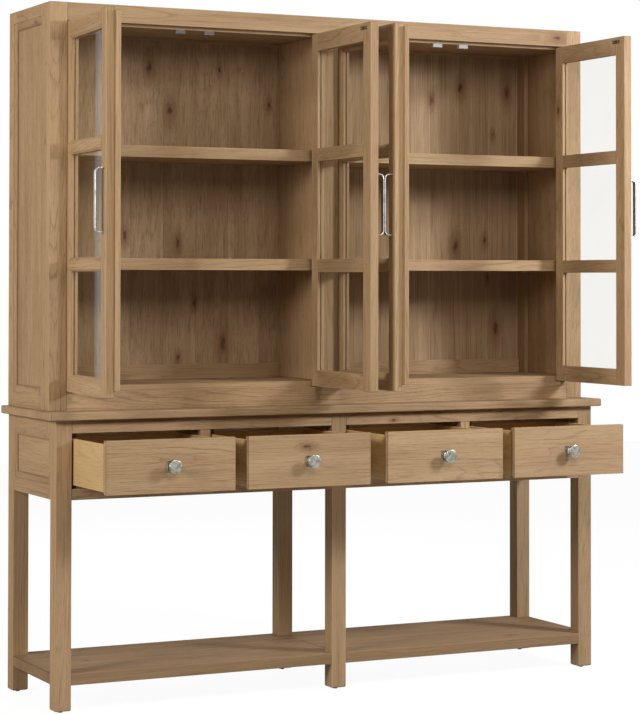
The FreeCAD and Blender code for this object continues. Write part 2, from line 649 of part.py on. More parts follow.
back_rails = []
for side in BOTH:
    bay_x = flip(("part_half", "cab_in_x"), side)
    back_rails.append(block("FootRail%d" % (side + 1), bay_x, BACK_RAIL_Y,
                            ("floor_top", "floor_top + back_rail_height")))
    back_rails.append(block("HeadRail%d" % (side + 1), bay_x, BACK_RAIL_Y,
                            ("ceiling_low - head_rail_height", "ceiling_low")))
node("hutch_back_rails", back_rails)

# Shelves on small metal rests.
shelves, fittings = [], []
SHELF_X = ("part_half + shelf_side_play", "cab_in_x - shelf_side_play")
for side in BOTH:
    for level, height in (("Low", "shelf_low_top"), ("High", "shelf_high_top")):
        tag = level + str(side + 1)
        under = "%s - shelf_board_thick" % height
        shelves.append(block("Shelf" + tag, flip(SHELF_X, side), ("shelf_front_y", "shelf_rear_y"),
                             (under, height)))
        for row, y in enumerate((("shelf_front_y + rest_inset",
                                  "shelf_front_y + rest_inset + rest_width"),
                                 ("shelf_rear_y - rest_inset - rest_width",
                                  "shelf_rear_y - rest_inset"))):
            for end, x in (("Out", ("cab_in_x - rest_reach", "cab_in_x")),
                           ("In", ("part_half", "part_half + rest_reach"))):
                fittings.append(block("Rest%s%s%d" % (tag, end, row), flip(x, side), y,
                                      ("%s - rest_height" % under, under)))
node("hutch_shelves", shelves)

# Magnetic catches under the stop strips.
for side in BOTH:
    for step in BOTH:
        middle = "bay_middle * %d + catch_x * %d" % (side, step)
        fittings.append(block("Catch%d%d" % (side + 1, step + 1),
                              ("%s - catch_width / 2" % middle, "%s + catch_width / 2" % middle),
                              ("frame_back + strike_thick + catch_play",
                               "frame_back + strike_thick + catch_play + catch_depth"),
                              ("catch_low", "catch_low + catch_height")))
node("cabinet_fittings", fittings)

# Doors, drawn closed about their pivots and then turned open.
GLASS_Y = ("glass_y", "glass_y + glass_thick")
PANES = [("leaf_low + leaf_rail_low", "bar_low_middle - bar_height / 2"),
         ("bar_low_middle + bar_height / 2", "bar_high_middle - bar_height / 2"),
         ("bar_high_middle + bar_height / 2", "leaf_high - leaf_rail_high")]
ACROSS = ("pane_in", "pane_out")
THICK_Y = ("-leaf_half", "leaf_half")
DOORS = [(1, 1, "-pivot_out_x", "-door_one_angle", True),
         (2, -1, "-pivot_mid_x", "door_two_angle", False),
         (3, 1, "pivot_mid_x", "-door_three_angle", True),
         (4, -1, "pivot_out_x", "door_four_angle", False)]


def hang(part, place, angle):
    """Stand a door piece on its pivot, turned open."""
    part.Placement = FreeCAD.Placement(FreeCAD.Vector(), FreeCAD.Rotation(FreeCAD.Vector(0, 0, 1), 1))
    put(part, place, "origin_shift + pivot_y", 0)
    bind(part, ".Placement.Rotation.Angle", angle)


def bow(tag, way):
    """A bow handle: a flat strap bent twice, with both feet on the door."""
    body = body_of("Bow" + tag)
    inner = "(handle_reach - handle_thick / 2)"
    outer = "(handle_reach + handle_thick / 2)"
    tall = "handle_height"
    corners = [(0, 0), ("-" + outer, 0), ("-" + outer, tall), (0, tall),
               (0, "handle_height - handle_thick"), ("-" + inner, "handle_height - handle_thick"),
               ("-" + inner, "handle_thick"), (0, "handle_thick")]
    sketch = outline(body, "BowSketch" + tag, "YZ_Plane", corners)
    last = pad(body, "BowPad" + tag, sketch, "handle_width")
    far = value_of("handle_reach")
    thick = value_of("handle_thick")
    last = soften(body, "Fillet", "BowOuter" + tag, last,
                  lambda mid, turn: abs(turn.x) > 0.5 and mid.y < -far, "handle_bend")
    last = soften(body, "Fillet", "BowInner" + tag, last,
                  lambda mid, turn: abs(turn.x) > 0.5 and -far < mid.y < -far + thick,
                  "handle_bend - handle_thick")
    put(body, "%s - handle_width / 2" % ("leaf_free - handle_inset" if way > 0
                                       else "-(leaf_free - handle_inset)"),
        "-leaf_half", "handle_middle - handle_height / 2")
    return body


for number, way, place, angle, lapped in DOORS:
    tag = "Door%d" % number
    tools = []
    for index, pane in enumerate(PANES):
        grow = "glass_tongue"
        tools.append(block("%sGroove%d" % (tag, index),
                           flip(("pane_in - %s" % grow, "pane_out + %s" % grow), way), GLASS_Y,
                           ("%s - %s" % (pane[0], grow), "%s + %s" % (pane[1], grow))))
        slope = "leaf_moulding_width"
        wide = flip(("pane_in - %s" % slope, "pane_out + %s" % slope), way)
        tall = ("%s - %s" % (pane[0], slope), "%s + %s" % (pane[1], slope))
        tools.append(frustum("%sSlope%d" % (tag, index), wide, None, tall, "-leaf_half", slope,
                             "leaf_moulding_depth", 0))
    tool = union(tag + "Rebates", tools)
    hinge_x = flip(("-pivot_inset", "pane_in"), way)
    free_x = flip(("pane_out", "leaf_free"), way)
    wide_stile = value_of("leaf_stile_width")
    edge_x = 0 if way > 0 else wide_stile
    free_edge = wide_stile if way > 0 else 0
    STILE_Z = ("leaf_low", "leaf_high")
    hinge = plank(tag + "HingeBar", hinge_x, THICK_Y, STILE_Z,
                  [("Fillet", lambda mid, turn: abs(turn.z) > 0.5 and near(mid.x, edge_x),
                    "hinge_round")])
    free = plank(tag + "FreeBar", free_x, THICK_Y, STILE_Z,
                 [("Chamfer", lambda mid, turn: abs(turn.z) > 0.5 and near(mid.x, free_edge),
                   "leaf_ease")])
    pieces = [cut(tag + "HingeStile", hinge, [tool]), cut(tag + "FreeStile", free, [tool])]
    if lapped:
        lap_x = ("leaf_free - batten_seat", "leaf_free + batten_lap")
        batten = block(tag + "BattenBar", lap_x, ("leaf_half", "leaf_half + batten_thick"),
                       ("leaf_low + batten_foot", "leaf_high - batten_head"))
        relief = block(tag + "BattenRelief", ("leaf_free", "leaf_free + batten_lap"),
                       ("leaf_half", "leaf_half + batten_relief"),
                       ("leaf_low + batten_foot", "leaf_high - batten_head"))
        pieces.append(cut(tag + "Batten", batten, [relief]))
    hang(node("door_%d_stiles" % number, pieces), place, angle)
    levels = [("leaf_low", PANES[0][0]), (PANES[0][1], PANES[1][0]), (PANES[1][1], PANES[2][0]),
              (PANES[2][1], "leaf_high")]
    bars = [cut("%sRail%d" % (tag, index), block("%sRailBar%d" % (tag, index), flip(ACROSS, way),
                THICK_Y, level), [tool]) for index, level in enumerate(levels)]
    hang(node("door_%d_rails" % number, bars), place, angle)
    reach = "(glass_tongue - glass_play)"
    panes = [block("%sGlass%d" % (tag, index),
                   flip(("pane_in - %s" % reach, "pane_out + %s" % reach), way), GLASS_Y,
                   ("%s - %s" % (pane[0], reach), "%s + %s" % (pane[1], reach)))
             for index, pane in enumerate(PANES)]
    hang(node("door_%d_glass" % number, panes), place, angle)
    hang(node("door_%d_handle" % number, [bow(tag, way)]), place, angle)
    metal = []
    for word, low, pin_low in (
            ("Low", "leaf_low - leaf_gap + pivot_rest", "leaf_low - leaf_gap - pivot_pin_reach"),
            ("High", "leaf_high", "leaf_high + leaf_gap - pivot_rest")):
        disc = rod(tag + word + "Disc", "pivot_disc_dia / 2", "leaf_gap - pivot_rest", 0, 0, low)
        pin = rod(tag + word + "Pin", "pivot_pin_dia / 2", "pivot_pin_reach + pivot_rest", 0, 0,
                  pin_low)
        metal.append(union(tag + word + "Pivot", [disc, pin]))
    strike_x = ("leaf_free - strike_inset - strike_width / 2",
                "leaf_free - strike_inset + strike_width / 2")
    metal.append(block(tag + "Strike", flip(strike_x, way), ("leaf_half",
                 "leaf_half + strike_thick"), ("catch_low - strike_thick * 2",
                                               "catch_low - strike_thick * 2 + strike_height")))
    hang(node("door_%d_fittings" % number, metal), place, angle)

doc.recompute()

# Nothing is written unless every object is sound.
bad = [item.Name for item in doc.Objects if {"Invalid", "Error"} & set(item.State)]
if bad:
    raise ValueError("objects not computed: " + ", ".join(bad))
for part in NODES:
    if part.Shape.isNull() or not part.Shape.isValid() or not part.Shape.Solids:
        raise ValueError("shape not sound: " + part.Label)
for part in NODES:
    part.Shape.exportStep("parts/" + part.Label + ".step")
print("nodes", len(NODES), "solids", sum(len(part.Shape.Solids) for part in NODES))
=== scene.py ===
import json
import logging
import math
import zlib
from dataclasses import dataclass, field
from enum import Enum
from functools import cache

import bmesh
import bpy
from mathutils import Matrix, Vector


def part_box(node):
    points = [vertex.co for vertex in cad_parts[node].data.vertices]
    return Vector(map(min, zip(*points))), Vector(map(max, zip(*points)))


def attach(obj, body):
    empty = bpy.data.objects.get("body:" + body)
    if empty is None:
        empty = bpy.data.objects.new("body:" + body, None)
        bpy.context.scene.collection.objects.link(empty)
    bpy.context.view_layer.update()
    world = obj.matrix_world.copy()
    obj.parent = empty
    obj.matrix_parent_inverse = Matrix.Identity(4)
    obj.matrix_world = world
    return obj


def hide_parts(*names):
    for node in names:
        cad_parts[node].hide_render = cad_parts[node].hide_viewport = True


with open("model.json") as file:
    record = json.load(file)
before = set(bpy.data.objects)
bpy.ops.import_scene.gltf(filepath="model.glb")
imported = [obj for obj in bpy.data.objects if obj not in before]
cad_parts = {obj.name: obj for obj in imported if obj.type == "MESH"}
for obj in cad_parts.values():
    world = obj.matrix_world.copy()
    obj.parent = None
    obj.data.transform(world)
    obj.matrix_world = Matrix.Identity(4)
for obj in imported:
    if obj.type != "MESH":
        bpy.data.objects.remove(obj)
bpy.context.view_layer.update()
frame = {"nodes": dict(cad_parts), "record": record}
LOG = logging.getLogger("display_sideboard")

MOULDING_DEPTH, MOULDING_SLACK = 0.008, 1.05
WELD_DISTANCE = 1e-6
FLAT_ANGLE = 0.01
SHARP_ANGLE = 0.6
SHORTEST_SOFT_EDGE = 0.004
HEART_ASIDE = 0.12
HEART_NEAREST, HEART_SPREAD = 0.020, 0.09
TREE_HEIGHT = 20.0
GRAIN_LEAN = 0.14
SIDE_LEAN_SHARE = 0.3
NAME_STEPS = 100003
KEY_STEPS_PER_METRE = 1e6
CHAMFER_SHARE, RIM_FOOT_SHARE = 0.25, 1.4
HEAD_SEGMENTS, HEAD_RINGS, SLOT_LENGTH = 20, 10, 2.4
SPIN_RANGE, SPIN_SEED = 3.1, 7
BEND_STEPS, EDGE_STEPS, EDGE_SHARE = 12, 4, 0.42
BOARD_SOFT, MOULDED_SOFT, LEAF_SOFT, CORNER_SOFT = 0.0009, 0.0006, 0.0008, 0.0016
WHITE = (1.0, 1.0, 1.0, 1.0)

Colour = tuple[float, float, float, float]
Triple = tuple[float, float, float]
Socket = bpy.types.NodeSocket


class Way(Enum):
    """Which way a door's leaf reaches from its pivot, or the figure of a board runs."""

    RIGHT = 1
    LEFT = -1


# Shader maths


class Wire:
    """A shader value: wraps a socket, and arithmetic on it adds Math nodes."""

    def __init__(self, bench: "NodeSheet", socket: Socket) -> None:
        """Keep the bench and the socket."""
        self.bench = bench
        self.socket = socket

    def math(self, operation: str, *others: "Wire | float", swap: bool = False) -> "Wire":
        """Add one Math node.

        Args:
            operation: the Math node's operation.
            others: further operands.
            swap: put this value second.

        Returns:
            The result as a new value.
        """
        operands = [self, *others]
        if swap:
            operands.reverse()
        node = self.bench.add("ShaderNodeMath", {"operation": operation}, dict(enumerate(operands)))
        return Wire(self.bench, node.outputs[0])

    def __add__(self, other: "Wire | float") -> "Wire":
        """Sum."""
        return self.math("ADD", other)

    __radd__ = __add__

    def __mul__(self, other: "Wire | float") -> "Wire":
        """Product."""
        return self.math("MULTIPLY", other)

    __rmul__ = __mul__

    def __sub__(self, other: "Wire | float") -> "Wire":
        """Difference."""
        return self.math("SUBTRACT", other)

    def __rsub__(self, other: "Wire | float") -> "Wire":
        """Reflected difference."""
        return self.math("SUBTRACT", other, swap=True)

    def __truediv__(self, other: "Wire | float") -> "Wire":
        """Quotient."""
        return self.math("DIVIDE", other)

    def __pow__(self, other: "Wire | float") -> "Wire":
        """Power."""
        return self.math("POWER", other)

    def fract(self) -> "Wire":
        """Fractional part."""
        return self.math("FRACT")

    def floor(self) -> "Wire":
        """Whole part."""
        return self.math("FLOOR")

    def above(self, edge: float) -> "Wire":
        """One where the value is over the edge."""
        return self.math("GREATER_THAN", edge)

    def ease(self, low: float, high: float, start: float = 0.0, end: float = 1.0) -> "Wire":
        """A smooth step.

        Args:
            low: where it starts.
            high: where it ends.
            start: value at low.
            end: value at high.

        Returns:
            The eased value.
        """
        node = self.bench.add(
            "ShaderNodeMapRange",
            {"interpolation_type": "SMOOTHSTEP", "clamp": True},
            {"Value": self, "From Min": low, "From Max": high, "To Min": start, "To Max": end},
        )
        return Wire(self.bench, node.outputs[0])


class NodeSheet:
    """A node tree, with one method that adds any node."""

    def __init__(self, tree: bpy.types.NodeTree) -> None:
        """Keep the tree."""
        self.tree = tree

    def add(self, kind: str, settings: dict[str, object], inputs: dict[object, object]) -> bpy.types.Node:
        """Add a node.

        Args:
            kind: the node's type.
            settings: its own properties, set first.
            inputs: values or links by socket name or number.

        Returns:
            The node.
        """
        node = self.tree.nodes.new(kind)
        for key, value in settings.items():
            setattr(node, key, value)
        for key, value in inputs.items():
            self.feed(node.inputs[key], value)
        return node

    def feed(self, socket: Socket, value: object) -> None:
        """Link a value to a socket, or set it there.

        Args:
            socket: where it goes.
            value: a shader value, a socket, a node, whose first output counts, or a plain value.
        """
        if isinstance(value, Wire):
            value = value.socket
        elif isinstance(value, bpy.types.Node):
            value = value.outputs[0]
        if isinstance(value, Socket):
            self.tree.links.new(value, socket)
        else:
            socket.default_value = value

    def join(self, x: object, y: object, z: object) -> Socket:
        """A vector from three parts."""
        return self.add("ShaderNodeCombineXYZ", {}, {0: x, 1: y, 2: z}).outputs[0]


class Bench(NodeSheet):
    """The shader nodes of a material or a world."""

    def __init__(self, owner: bpy.types.ID, output: str = "ShaderNodeOutputMaterial") -> None:
        """Empty the owner's tree and place its output.

        Args:
            owner: the new material or world.
            output: the kind of its output node.
        """
        owner.use_nodes = True
        super().__init__(owner.node_tree)
        self.owner = owner
        self.tree.nodes.clear()
        self.output = self.add(output, {}, {})

    @classmethod
    def named(cls, name: str) -> "Bench":
        """The bench of a new material."""
        return cls(bpy.data.materials.new(name))

    def wire(self, node: bpy.types.Node, output: int | str = 0) -> Wire:
        """One output of a node as a value."""
        return Wire(self, node.outputs[output])

    def vector(self, operation: str, first: object, second: object) -> Socket:
        """Add a Vector Math node and return its vector."""
        node = self.add("ShaderNodeVectorMath", {"operation": operation}, {0: first, 1: second})
        return node.outputs[0]

    def length(self, vector: object) -> Wire:
        """Length of a vector."""
        node = self.add("ShaderNodeVectorMath", {"operation": "LENGTH"}, {0: vector})
        return Wire(self, node.outputs["Value"])

    def split(self, vector: object) -> tuple[Wire, Wire, Wire]:
        """The three parts of a vector."""
        node = self.add("ShaderNodeSeparateXYZ", {}, {0: vector})
        return self.wire(node, 0), self.wire(node, 1), self.wire(node, 2)

    def noise(self, vector: object, scale: float, detail: float = 2.0, rough: float = 0.5) -> Wire:
        """Noise from 0 to 1 about 0.5.

        Args:
            vector: where it is read.
            scale: its fineness.
            detail: its octaves.
            rough: how strong the fine octaves are.

        Returns:
            The value.
        """
        node = self.add("ShaderNodeTexNoise", {"noise_dimensions": "3D"},
                        {"Vector": vector, "Scale": scale, "Detail": detail, "Roughness": rough})
        return self.wire(node, 0)

    def blend(self, share: object, first: object, second: object) -> Socket:
        """Mix two colours.

        Args:
            share: how much of the second.
            first: a colour or a link.
            second: a colour or a link.

        Returns:
            The mixed colour.
        """
        node = self.add("ShaderNodeMix", {"data_type": "RGBA"}, {0: share, 6: first, 7: second})
        return node.outputs[2]

    def scaled(self, vector: object, factors: object) -> Socket:
        """A vector times another, part by part."""
        return self.vector("MULTIPLY", vector, factors)

    def held(self, word: str, output: str) -> Socket:
        """An attribute of the mesh."""
        return self.add("ShaderNodeAttribute", {"attribute_name": word}, {}).outputs[output]

    def spot(self) -> Socket:
        """The place on the object."""
        return self.add("ShaderNodeTexCoord", {}, {}).outputs["Object"]

    def dice(self, value: object) -> bpy.types.Node:
        """A fixed random number and colour for a value."""
        return self.add("ShaderNodeTexWhiteNoise", {"noise_dimensions": "1D"}, {"W": value})

    def bump(self, strength: float, depth: float, height: object) -> bpy.types.Node:
        """The normal of a rough face.

        Args:
            strength: how much of it shows.
            depth: how high it stands at most.
            height: its height from 0 to 1.

        Returns:
            The node, whose output is the normal.
        """
        return self.add("ShaderNodeBump", {}, {"Strength": strength, "Distance": depth, "Height": height})

    def body(self, inputs: dict[object, object]) -> bpy.types.Node:
        """The surface shader."""
        return self.add("ShaderNodeBsdfPrincipled", {}, inputs)

    def mix(self, share: object, first: bpy.types.Node, second: bpy.types.Node) -> bpy.types.ID:
        """Mix two shaders, join them to the output and return the material or world."""
        return self.finish(self.add("ShaderNodeMixShader", {}, {0: share, 1: first, 2: second}))

    def finish(self, shader: bpy.types.Node) -> bpy.types.ID:
        """Join a shader to the output and return the material or world."""
        self.feed(self.output.inputs[0], shader)
        return self.owner


@dataclass(frozen=True)
class Fibre:
    """Noise drawn out along the grain: how fine it is across and along, its octaves and roughness."""

    across: float
    along: float
    octaves: float
    rough: float = 0.5

    def read(self, bench: Bench, grain: Socket) -> Wire:
        """The noise at a place in the board."""
        return bench.noise(bench.scaled(grain, (self.across, self.across, self.along)), 1.0,
                           self.octaves, self.rough)


WARP = Fibre(7.0, 1.0, 3.0)
DRIFT = Fibre(34.0, 3.4, 2.0)
PORE = Fibre(1300.0, 42.0, 1.0)
VESSEL = Fibre(520.0, 15.0, 2.0, 0.7)
STREAK = Fibre(210.0, 2.6, 4.0, 0.75)
BAND = Fibre(30.0, 0.9, 2.0, 0.6)
PATCH = Fibre(6.0, 1.2, 3.0)
HUE = Fibre(26.0, 1.3, 3.0, 0.6)
RAGGED = Fibre(150.0, 60.0, 3.0, 0.6)
SCRATCH = Fibre(900.0, 60.0, 2.0)


# Finishes


PINK_SHARE, OLIVE_SHARE, PATCH_SHARE = 0.45, 0.40, 0.26
PORE_SHARE, WORN_LIT_SHARE = 0.62, 0.30
HALO_SHARE, RIM_SHARE, CORE_SHARE = 0.60, 0.75, 0.62
JOINT_SHARE, SEAM_SHARE, JOINT_SHADE_LIMIT = 0.62, 0.45, 0.8
OAK_BUMP, PORE_DEPTH = 0.30, 0.0006
SEAM_WIDTH = 0.0012
WARP_REACH, DRIFT_REACH, KNOT_REACH = 0.080, 0.009, 0.024
PACE_FINE, PACE_SHIFT, PACE_REACH, YEAR_SHIFT = 38.0, 20.0, 2.6, 31.0
STAVE_SHIFT, STAVES_ASIDE, STAVE_SPREAD, STAVE_TONE = 7.3, 50.0, (0.10, 0.12, 3.7), 0.65
KNOTS_ACROSS, KNOTS_ALONG, KNOT_SHIFT = 7.5, 2.1, 9.0
KNOT_LEAST, KNOT_RANGE, KNOT_HALO, EYE_HALO = 0.0025, 0.0045, 6.0, 4.0
KNOT_RAGGED, EYE_RAGGED, EYE_SQUEEZE = 0.013, 0.020, 0.42
RECESS_SHADE_SHARE, RIM_SHADE_SHARE, RIM_SHADE_WIDTH = 0.42, 0.40, 0.006


@dataclass(frozen=True)
class OakFinish:
    """Lightly limed rustic oak under a thin matt lacquer."""

    name: str
    light: Colour = (0.480, 0.316, 0.172, 1.0)
    middle: Colour = (0.385, 0.240, 0.122, 1.0)
    dark: Colour = (0.165, 0.091, 0.043, 1.0)
    pink: Colour = (0.420, 0.238, 0.130, 1.0)
    olive: Colour = (0.380, 0.262, 0.128, 1.0)
    knot: Colour = (0.050, 0.026, 0.015, 1.0)
    bark: Colour = (0.200, 0.096, 0.050, 1.0)
    ring_gap: float = 0.0070
    ring_share: float = 0.36
    streak_share: float = 0.46
    band_share: float = 0.60
    board_share: float = 0.22
    stave: float = 0.0
    knots: float = 0.08
    # rim: width of the band round a panel's edges that is painted dark as shade from the frame; 0 for none
    rim: float = 0.0
    roughness: float = 0.62
    sheen: float = 0.10
    lying: Way = Way.RIGHT
    eyes: tuple[Triple, ...] = ()

    def material(self) -> bpy.types.Material:
        """Build the node tree.

        Returns:
            The material.
        """
        bench = Bench.named(self.name)
        grain, local, half = (bench.held(word, "Vector") for word in ("grain", "local", "half"))
        tone, sunk = (Wire(bench, bench.held(word, "Fac")) for word in ("tone", "sunk"))
        seam: Wire | None = None
        if self.stave > 0:
            grain, tone, seam = self.staves(bench, grain, local, tone)
        halo, core = self.knot_masks(bench, grain, tone)
        early = self.rings(bench, grain, tone, halo)
        fine, coarse = PORE.read(bench, grain), VESSEL.read(bench, grain)
        pores = (fine.ease(0.56, 0.68) * 0.6 + coarse.ease(0.52, 0.66) * 0.9) * (early * 0.6 + 0.4)
        streak, band, patch, hue = (fibre.read(bench, grain) for fibre in (STREAK, BAND, PATCH, HUE))
        worn_and_lit, joint, dust_and_shade = self.edge_masks(bench, local, half, sunk)
        # The dark joint and stave seam lines are the wood's own; the moulding and rim terms added with them
        # are painted shade.
        joints_and_shade = joint * JOINT_SHARE + dust_and_shade
        if seam is not None:
            joints_and_shade = joints_and_shade + seam * SEAM_SHARE
        colour = self.light
        for share, over in (
                (band.ease(0.32, 0.68) * self.band_share, self.middle),
                (hue.ease(0.50, 0.76) * PINK_SHARE, self.pink),
                (hue.ease(0.48, 0.28) * OLIVE_SHARE, self.olive),
                (early * self.ring_share, self.dark),
                (streak.ease(0.48, 0.70) * self.streak_share, self.dark),
                (patch.ease(0.45, 0.75) * PATCH_SHARE, self.dark),
                (tone * self.board_share, self.dark),
                (pores * PORE_SHARE, self.dark),
                (halo.ease(0.10, 1.0) * HALO_SHARE, self.bark),
                (core.ease(0.0, 0.7) * RIM_SHARE, self.bark),
                (core.ease(0.6, 1.0) * CORE_SHARE, self.knot),
                (worn_and_lit * WORN_LIT_SHARE, self.light),
                (joints_and_shade.math("MINIMUM", JOINT_SHADE_LIMIT), self.knot)):
            colour = bench.blend(share, colour, over)
        height = (1.0 - pores) * 0.6 + (1.0 - core) * 0.25 - early * 0.15 - joints_and_shade * 0.5
        rough = self.roughness + (streak - 0.5) * 0.25 + pores * 0.12
        return bench.finish(bench.body({"Base Color": colour, "Roughness": rough,
                                        "Normal": bench.bump(OAK_BUMP, PORE_DEPTH, height),
                                        "Specular IOR Level": self.sheen}))

    def rings(self, bench: Bench, grain: Socket, tone: Wire, halo: Wire) -> Wire:
        """Where the pale early wood of each year lies.

        Args:
            bench: the tree.
            grain: place in the board.
            tone: the board's own shade, which shifts the pattern.
            halo: the grain that the knots disturb.

        Returns:
            The share of early wood.
        """
        warp, drift = WARP.read(bench, grain), DRIFT.read(bench, grain)
        radius = bench.length(bench.scaled(grain, (1.0, 1.0, 0.0)))
        bent = radius + (warp - 0.5) * WARP_REACH + (drift - 0.5) * DRIFT_REACH + halo * KNOT_REACH
        pace = bench.noise(bench.join(bent * PACE_FINE, tone * PACE_SHIFT, 0.0), 1.0, 1.0)
        count = bent / self.ring_gap + pace * PACE_REACH
        turn = count.fract()
        odds = bench.wire(bench.dice(count.floor() + tone * YEAR_SHIFT), "Value")
        return (turn.ease(0.0, 0.34, 1.0, 0.0) + turn.ease(0.94, 1.0)) * (odds * 0.85 + 0.15)

    def staves(self, bench: Bench, grain: Socket, local: Socket,
               tone: Wire) -> tuple[Socket, Wire, Wire]:
        """Divide a panel into boards glued side by side.

        Args:
            bench: the tree.
            grain: place in the tree that the panel was cut from.
            local: place from the middle of the panel.
            tone: the panel's own shade.

        Returns:
            Place in the board, the board's shade and the seams.
        """
        across, _, _ = bench.split(local)
        _, y, z = bench.split(grain)
        count = across / self.stave + tone * STAVE_SHIFT + STAVES_ASIDE
        thrown = bench.dice(count.floor() + 0.5)
        spread = bench.scaled(thrown.outputs["Color"], STAVE_SPREAD)
        inside = count.fract()
        own_x = (inside - 0.5) * self.stave
        moved = bench.vector("ADD", bench.join(own_x, y, z), spread)
        share = bench.wire(thrown, "Value")
        seam = (inside - 0.5).math("ABSOLUTE").ease(0.5 - SEAM_WIDTH / self.stave, 0.5)
        return moved, tone * (1.0 - STAVE_TONE) + share * STAVE_TONE, seam

    def knot_masks(self, bench: Bench, grain: Socket, tone: Wire) -> tuple[Wire, Wire]:
        """Where the knots lie, the same all through a board.

        Args:
            bench: the tree.
            grain: place in the board.
            tone: the board's own shade, which shifts the pattern.

        Returns:
            The disturbed grain round the knots, and their cores.
        """
        x, _, z = bench.split(grain)
        ragged = RAGGED.read(bench, grain)
        place = bench.join(x * KNOTS_ACROSS, z * KNOTS_ALONG + tone * KNOT_SHIFT, 0.0)
        cells = bench.add("ShaderNodeTexVoronoi", {"voronoi_dimensions": "2D", "feature": "F1"},
                          {"Vector": place, "Scale": 1.0, "Randomness": 1.0})
        gap = bench.vector("SUBTRACT", place, cells.outputs["Position"])
        metres = bench.scaled(gap, (1.0 / KNOTS_ACROSS, 0.5 / KNOTS_ALONG, 0.0))
        far = bench.length(metres) + (ragged - 0.5) * KNOT_RAGGED
        red, green, _ = bench.split(cells.outputs["Color"])
        there = red.above(1.0 - self.knots)
        size = green * KNOT_RANGE + KNOT_LEAST
        core = (far / size).ease(1.35, 0.55) * there
        halo = (far / (size * KNOT_HALO)).ease(1.0, 0.0) * there
        stretch = (1.0, 0.0, EYE_SQUEEZE) if self.lying is Way.RIGHT else (EYE_SQUEEZE, 0.0, 1.0)
        spot = bench.spot()
        for east, up, reach in self.eyes:
            aside = bench.vector("SUBTRACT", spot, (east, 0.0, up))
            span = bench.length(bench.scaled(aside, stretch)) + (ragged - 0.5) * EYE_RAGGED
            core = core.math("MAXIMUM", (span / reach).ease(1.25, 0.15))
            halo = halo.math("MAXIMUM", (span / (reach * EYE_HALO)).ease(1.0, 0.1))
        return halo, core

    def edge_masks(self, bench: Bench, local: Socket, half: Socket,
                   sunk: Wire) -> tuple[Wire, Wire, Wire]:
        """What the edges of a board carry.

        Args:
            bench: the tree.
            local: place from the middle of the board.
            half: half its width, thickness and length.
            sunk: how deep in a moulding the face lies, from 0 to 1.

        Returns:
            Paler long edges, partly wear and partly a painted highlight; the joint lines at the ends; and
            painted shade in the mouldings and round panel rims.
        """
        gaps = bench.vector("SUBTRACT", half, bench.vector("ABSOLUTE", local, (0.0, 0.0, 0.0)))
        side, face, end = bench.split(gaps)
        # Paler long edges: partly wear, partly a painted highlight on the softened arris.
        worn_and_lit = (side + face).ease(0.0040, 0.0008)
        joint = end.ease(0.0018, 0.0003) * side.math("MINIMUM", face).ease(0.0030, 0.0012)
        # Painted shade: a face gets darker the deeper it lies in its moulding, standing in for the shade in
        # the recess.
        dust_and_shade = sunk.ease(0.0, 1.0) * RECESS_SHADE_SHARE
        # Painted shade: a dark band round the panel's rim, where the frame's recess shades it.
        if self.rim > 0:
            rim_gap = side.math("MINIMUM", end)
            dust_and_shade = dust_and_shade + rim_gap.ease(self.rim + RIM_SHADE_WIDTH, self.rim) * RIM_SHADE_SHARE
        return worn_and_lit, joint, dust_and_shade


@dataclass(frozen=True)
class GlassFinish:
    """Clear float glass, faintly grey-green."""

    name: str
    tint: Colour = (0.978, 0.976, 0.965, 1.0)
    mirror: Colour = (0.74, 0.74, 0.68, 1.0)

    def material(self) -> bpy.types.Material:
        """Build the node tree.

        Returns:
            The material.
        """
        bench = Bench.named(self.name)
        place = bench.spot()
        smear = bench.noise(place, 9.0, 3.0)
        facing = bench.wire(bench.add("ShaderNodeLayerWeight", {}, {"Blend": 0.5}), "Facing")
        share = facing ** 5.0 * 0.50 + 0.026 + smear.ease(0.5, 0.8) * 0.010
        clear = bench.add("ShaderNodeBsdfTransparent", {}, {"Color": self.tint})
        gloss = bench.body({"Base Color": self.mirror, "Roughness": smear * 0.05 + 0.02, "Metallic": 1.0})
        return bench.mix(share, clear, gloss)


@dataclass(frozen=True)
class SilverFinish:
    """Aged silver metal with a softly hammered face."""

    name: str
    bright: Colour = (0.40, 0.38, 0.33, 1.0)
    dull: Colour = (0.13, 0.12, 0.095, 1.0)
    hammer: float = 230.0
    depth: float = 0.0006
    roughness: float = 0.26

    def material(self) -> bpy.types.Material:
        """Build the node tree.

        Returns:
            The material.
        """
        bench = Bench.named(self.name)
        place = bench.spot()
        dents = bench.add("ShaderNodeTexVoronoi", {"feature": "SMOOTH_F1"},
                          {"Vector": place, "Scale": self.hammer, "Smoothness": 0.6})
        dent = bench.wire(dents, "Distance")
        tarnish = bench.noise(place, 85.0, 4.0, 0.6)
        scratch = SCRATCH.read(bench, place)
        share = tarnish.ease(0.44, 0.60) * 0.72 + dent.ease(0.55, 0.9) * 0.20
        colour = bench.blend(share, self.bright, self.dull)
        normal = bench.bump(0.45, self.depth, dent + scratch * 0.08)
        rough = self.roughness + tarnish.ease(0.45, 0.75) * 0.22
        return bench.finish(bench.body({"Base Color": colour, "Metallic": 1.0, "Normal": normal,
                                        "Roughness": rough}))


